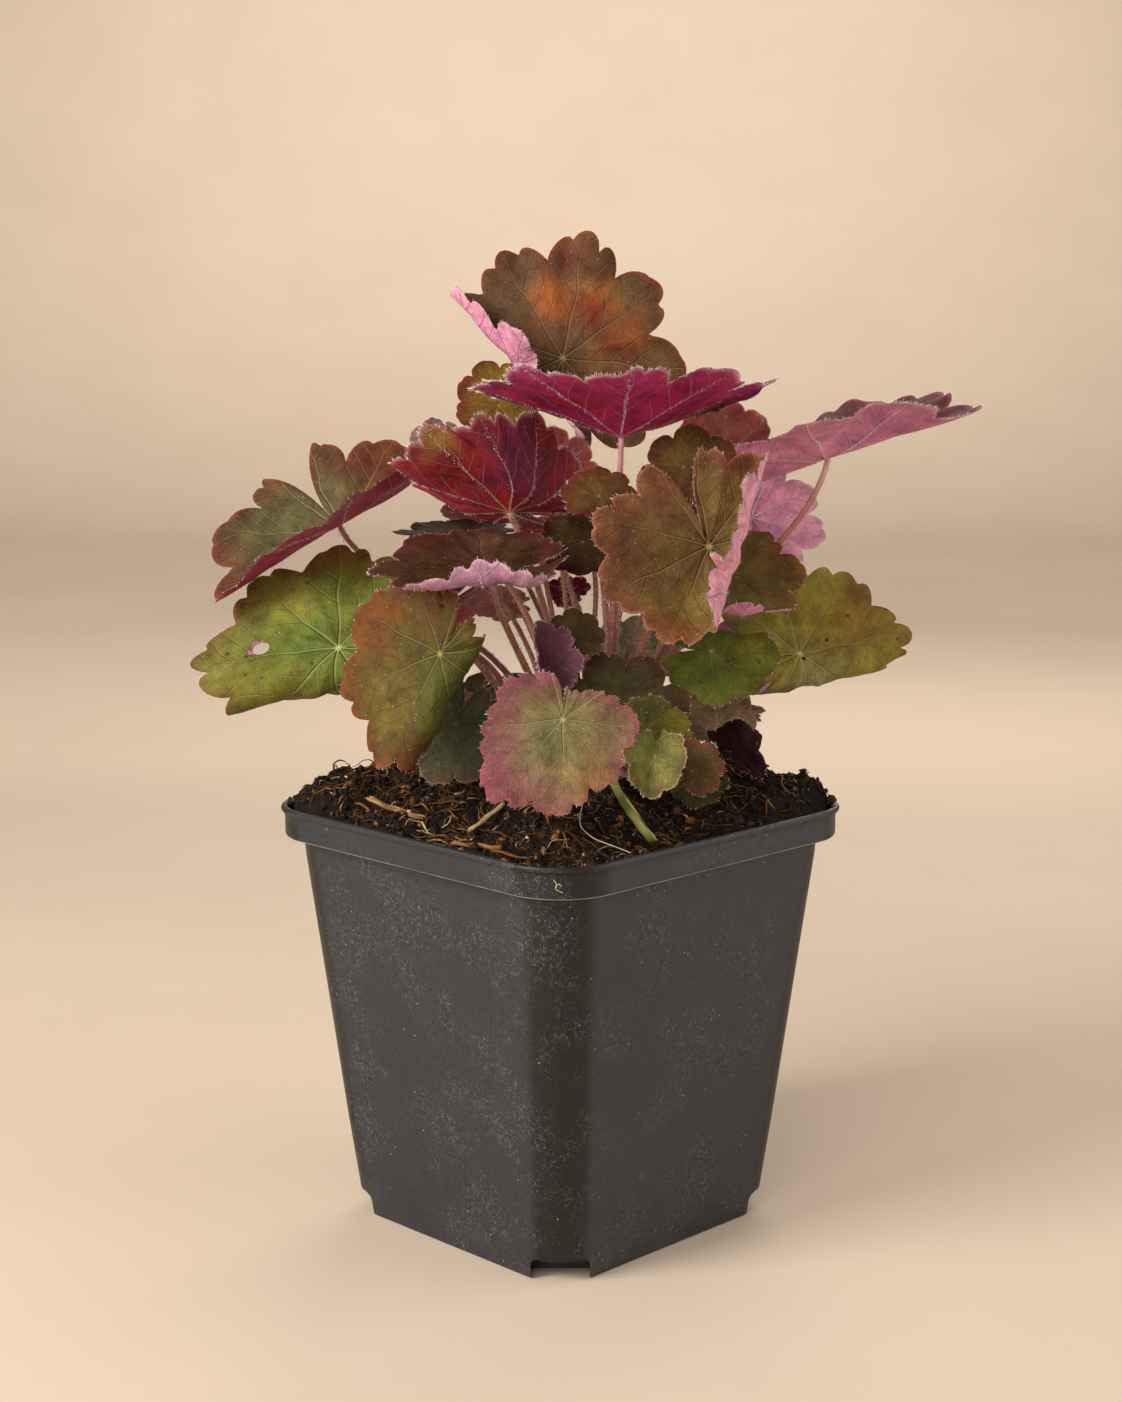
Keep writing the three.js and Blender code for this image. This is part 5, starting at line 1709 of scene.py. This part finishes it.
        "leaf_bronze_young", (3, -17, 124.5), 7, (-90, 30, 185), Tint("54442a", "8a7c50", "8a4444", 0.5),
        ROSE_UNDER, base=0.5,
    ),
    Leaf(
        "leaf_purple_young", (-3, -23, 119.5), 10, (-60, 20, 175), Tint("6c4254", "a88494", "a87484", 0.6),
        Tint("8a4a68", "c094a4", "c898a8", 0.6), base=0.4,
        folds=((90, 0.05, 60, 0.15), (-90, 0.05, 60, 0.15)), slot="leaf_magenta",
    ),
    Leaf(
        "leaf_back_pale", (18.5, 24, 117), 13, (-90, 60, -90), Tint("7e7c58", "a8a480", "9a6c60", 0.5),
        ROSE_UNDER, slot="leaf_olive",
    ),
    Leaf(
        "leaf_back_rosy", (-12, 20, 127), 8, (90, 50, 90), OLIVE, Tint("b87c78", "d8a8a0", "d8a8a0", 0.5),
        slot="leaf_rose",
    ),
    Leaf(
        "leaf_back_grey", (-27, 41, 158), 8, (-90, 20, 190),
        Tint("8a7468", "b0a094", "a88088", 0.5, "7c5c50"), ROSE_UNDER, bow=(0, 12, 0), slot="leaf_dark",
    ),
    Leaf(
        "leaf_pink_small", (-17, 30, 146), 9, (90, 60, 90), BRONZE, Tint("9a5c58", "c89890", "cfa09c", 0.5),
        bow=(0, 10, 0), slot="leaf_rose",
    ),
    Leaf("leaf_rear_low_left", (-18, 30, 106), 22, (115, 65, 0), GREEN, GREEN_UNDER, slot="leaf_olive"),
    Leaf(
        "leaf_rear_low_right", (27, 40, 103), 22, (65, 65, 0), OLIVE, GREEN_UNDER, spots=0.5,
        slot="leaf_olive",
    ),
    Leaf("leaf_rear_left", (-28.5, 32, 122.5), 24, (150, 50, 10), OLIVE, MAGENTA_UNDER, slot="leaf_olive"),
    Leaf("leaf_rear_right", (37, 44, 115), 20, (40, 55, 0), BRONZE, PINK_UNDER, bow=(0, 0, 8)),
    Leaf("leaf_rear_upper", (14, 36, 145.5), 20, (100, 60, 0), BRONZE, CRIMSON_UNDER),
]


@dataclass
class Plant:
    """All the leaves with their hairs."""

    leaves: list[Leaf]

    def build(self) -> None:
        """Makes each leaf, then the hairs of all of them in three pieces."""
        materials = [BladeFinish().make(), StalkFinish().make()]
        feet = stalk_feet(self.leaves)
        rng = np.random.default_rng(5)
        hairs: dict[Part, list[Skin]] = {part: [] for part in Part}
        for leaf in self.leaves:
            foot = feet[leaf.name]
            skin = Skin.joined([leaf.blade(), leaf.stalk_skin(foot)])
            made = skin.piece(leaf.name.replace("leaf_", "blade_"), materials, leaf.slot)
            if leaf.hole:
                carve(made, [cutter_of("cutter_hole", leaf.punch())], 60.0)
                leaf.heal(made)
            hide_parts(leaf.name)
            for part in Part:
                hairs[part].append(leaf.hairs(foot, part, rng))
        finish = HairFinish().make()
        for part, skins in hairs.items():
            Skin.joined(skins).piece(f"hairs_{part.value}", [finish], "leaf_rose")


# ---- Stage ----


@dataclass(frozen=True)
class Lamp:
    """A square soft lamp, by default one that looks at the plant and shines all round."""

    name: str
    place: tuple[float, float, float]
    size_m: float
    power: float
    colour: str = "fff6ec"
    aim: tuple[float, float, float] = (0.0, 0.0, 100.0)
    spread: float = 180.0

    def build(self) -> None:
        """Makes the lamp."""
        lamp = bpy.data.lights.new(self.name, "AREA")
        lamp.size, lamp.energy, lamp.spread = self.size_m, self.power, math.radians(self.spread)
        lamp.color = rgba(self.colour)[:3]
        spot = turned(np.array(self.place)) * MM
        aimed(self.name, lamp, spot, turned(np.array(self.aim)) * MM - spot)


@dataclass
class Stage:
    """The camera, the floor and soft light from the upper left."""

    focal_px: float = 2404.0
    long_px: float = 1402.0
    sensor: float = 36.0
    distance: float = 496.4
    tilt: float = 0.168
    target: tuple[float, float, float] = (0.15, 0.0, 109.4)
    lamps: tuple[Lamp, ...] = (
        Lamp("key", (-600.0, -380.0, 460.0), 0.34, 6.9),
        Lamp("front", (-230.0, -700.0, 380.0), 0.5, 2.6),
        Lamp("right", (620.0, -60.0, 330.0), 0.7, 2.2, "fffaf4"),
        Lamp("back", (160.0, 560.0, 520.0), 0.5, 2.0),
        Lamp("wall", (0.0, 500.0, 900.0), 1.6, 10.0, aim=(0.0, 2300.0, 350.0), spread=80.0),
    )

    def build(self) -> None:
        """Makes the camera, the floor, the world and the lamps."""
        back = np.array([0.0, -math.cos(self.tilt), math.sin(self.tilt)])
        lens = bpy.data.cameras.new("camera")
        lens.lens = self.focal_px / self.long_px * self.sensor
        lens.sensor_width = self.sensor
        lens.clip_start, lens.clip_end = 0.01, 20.0
        place = turned(np.array(self.target) + back * self.distance) * MM
        scene = bpy.context.scene
        scene.camera = aimed("camera", lens, place, -turned(back))
        scene.view_settings.view_transform = "Standard"
        self._floor()
        scene.world = bpy.data.worlds.new("studio")
        scene.world.use_nodes = True
        ground = scene.world.node_tree.nodes["Background"]
        ground.inputs[0].default_value = rgba("f6ebdc")
        ground.inputs[1].default_value = 0.3
        for lamp in self.lamps:
            lamp.build()

    def _floor(self) -> None:
        """A pale floor, in metres, that curves up into a pale wall far behind the plant."""
        turn = np.linspace(0, math.pi / 2, 25)
        flat, radius = 1.4, 0.9
        depth = np.concatenate([[-3.0, 0.0], flat + radius * np.sin(turn), [flat + radius]])
        rise = np.concatenate([[0.0, 0.0], radius * (1 - np.cos(turn)), [4.0]])
        count = len(depth)
        left = np.column_stack([np.full(count, -4.0), depth, rise])
        points = turned(np.concatenate([left, left * [-1, 1, 1]]))
        faces = [(i, i + count, i + count + 1, i + 1) for i in range(count - 1)]
        mesh = bpy.data.meshes.new("floor")
        mesh.from_pydata(points.tolist(), [], faces)
        mesh.shade_smooth()
        g = Graph("floor")
        mottle = g.noise(g.place(), 9.0, 4.0)
        mesh.materials.append(g.finish(g.mix(mottle, rgba("cfc0ae"), rgba("dacbba")), 0.9, gloss=0.15))
        placed("floor", mesh)


LEFT = ((-39, -12, 1.4), (-33, -17, 1.3), (-27, -21, 1.0))
FRONT = ((-21, -34, 0.9), (-16, -37, 1.1), (-11.5, -39.5, 1.0))
PALE = ((-18, -29, 1.1), (-14.5, -26.5, 1.2), (-11, -24.5, 1.3))
STEM = ((9, -29, 10.5), (13.5, -31, 5.4), (18.5, -33, 0.6))


def main() -> None:
    """Builds the stage, then each part of the plant and its pot in order."""
    logging.basicConfig(level=logging.INFO, format="%(message)s")
    Stage().build()
    Pot().build()
    Soil().build()
    straw = FibreFinish("straw", (10.0, 1.0, 1.0), 0.35).make()
    Straw("straw_left", "straw", 1.15, 0.4, LEFT, "7e5a30", "b08c58").build(straw)
    Straw("straw_front", "straw", 0.95, 0.4, FRONT, "7c5226", "a87c42").build(straw)
    Straw("straw_pale", "straw", 0.75, 0.35, PALE, "947c50", "b8a074").build(straw)
    stem = FibreFinish("cut_stem", (10.0, 0.6, 1.0), 0.45).make()
    Straw("stem_cut", "stem", 1.6, 0.7, STEM, "5a6a22", "b4b068").build(stem)
    Rootstock().build(FibreFinish("bark", (3.0, 3.0, 1.0)).make())
    Plant(LEAVES).build()
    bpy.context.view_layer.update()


if __name__ == "__main__":
    main()
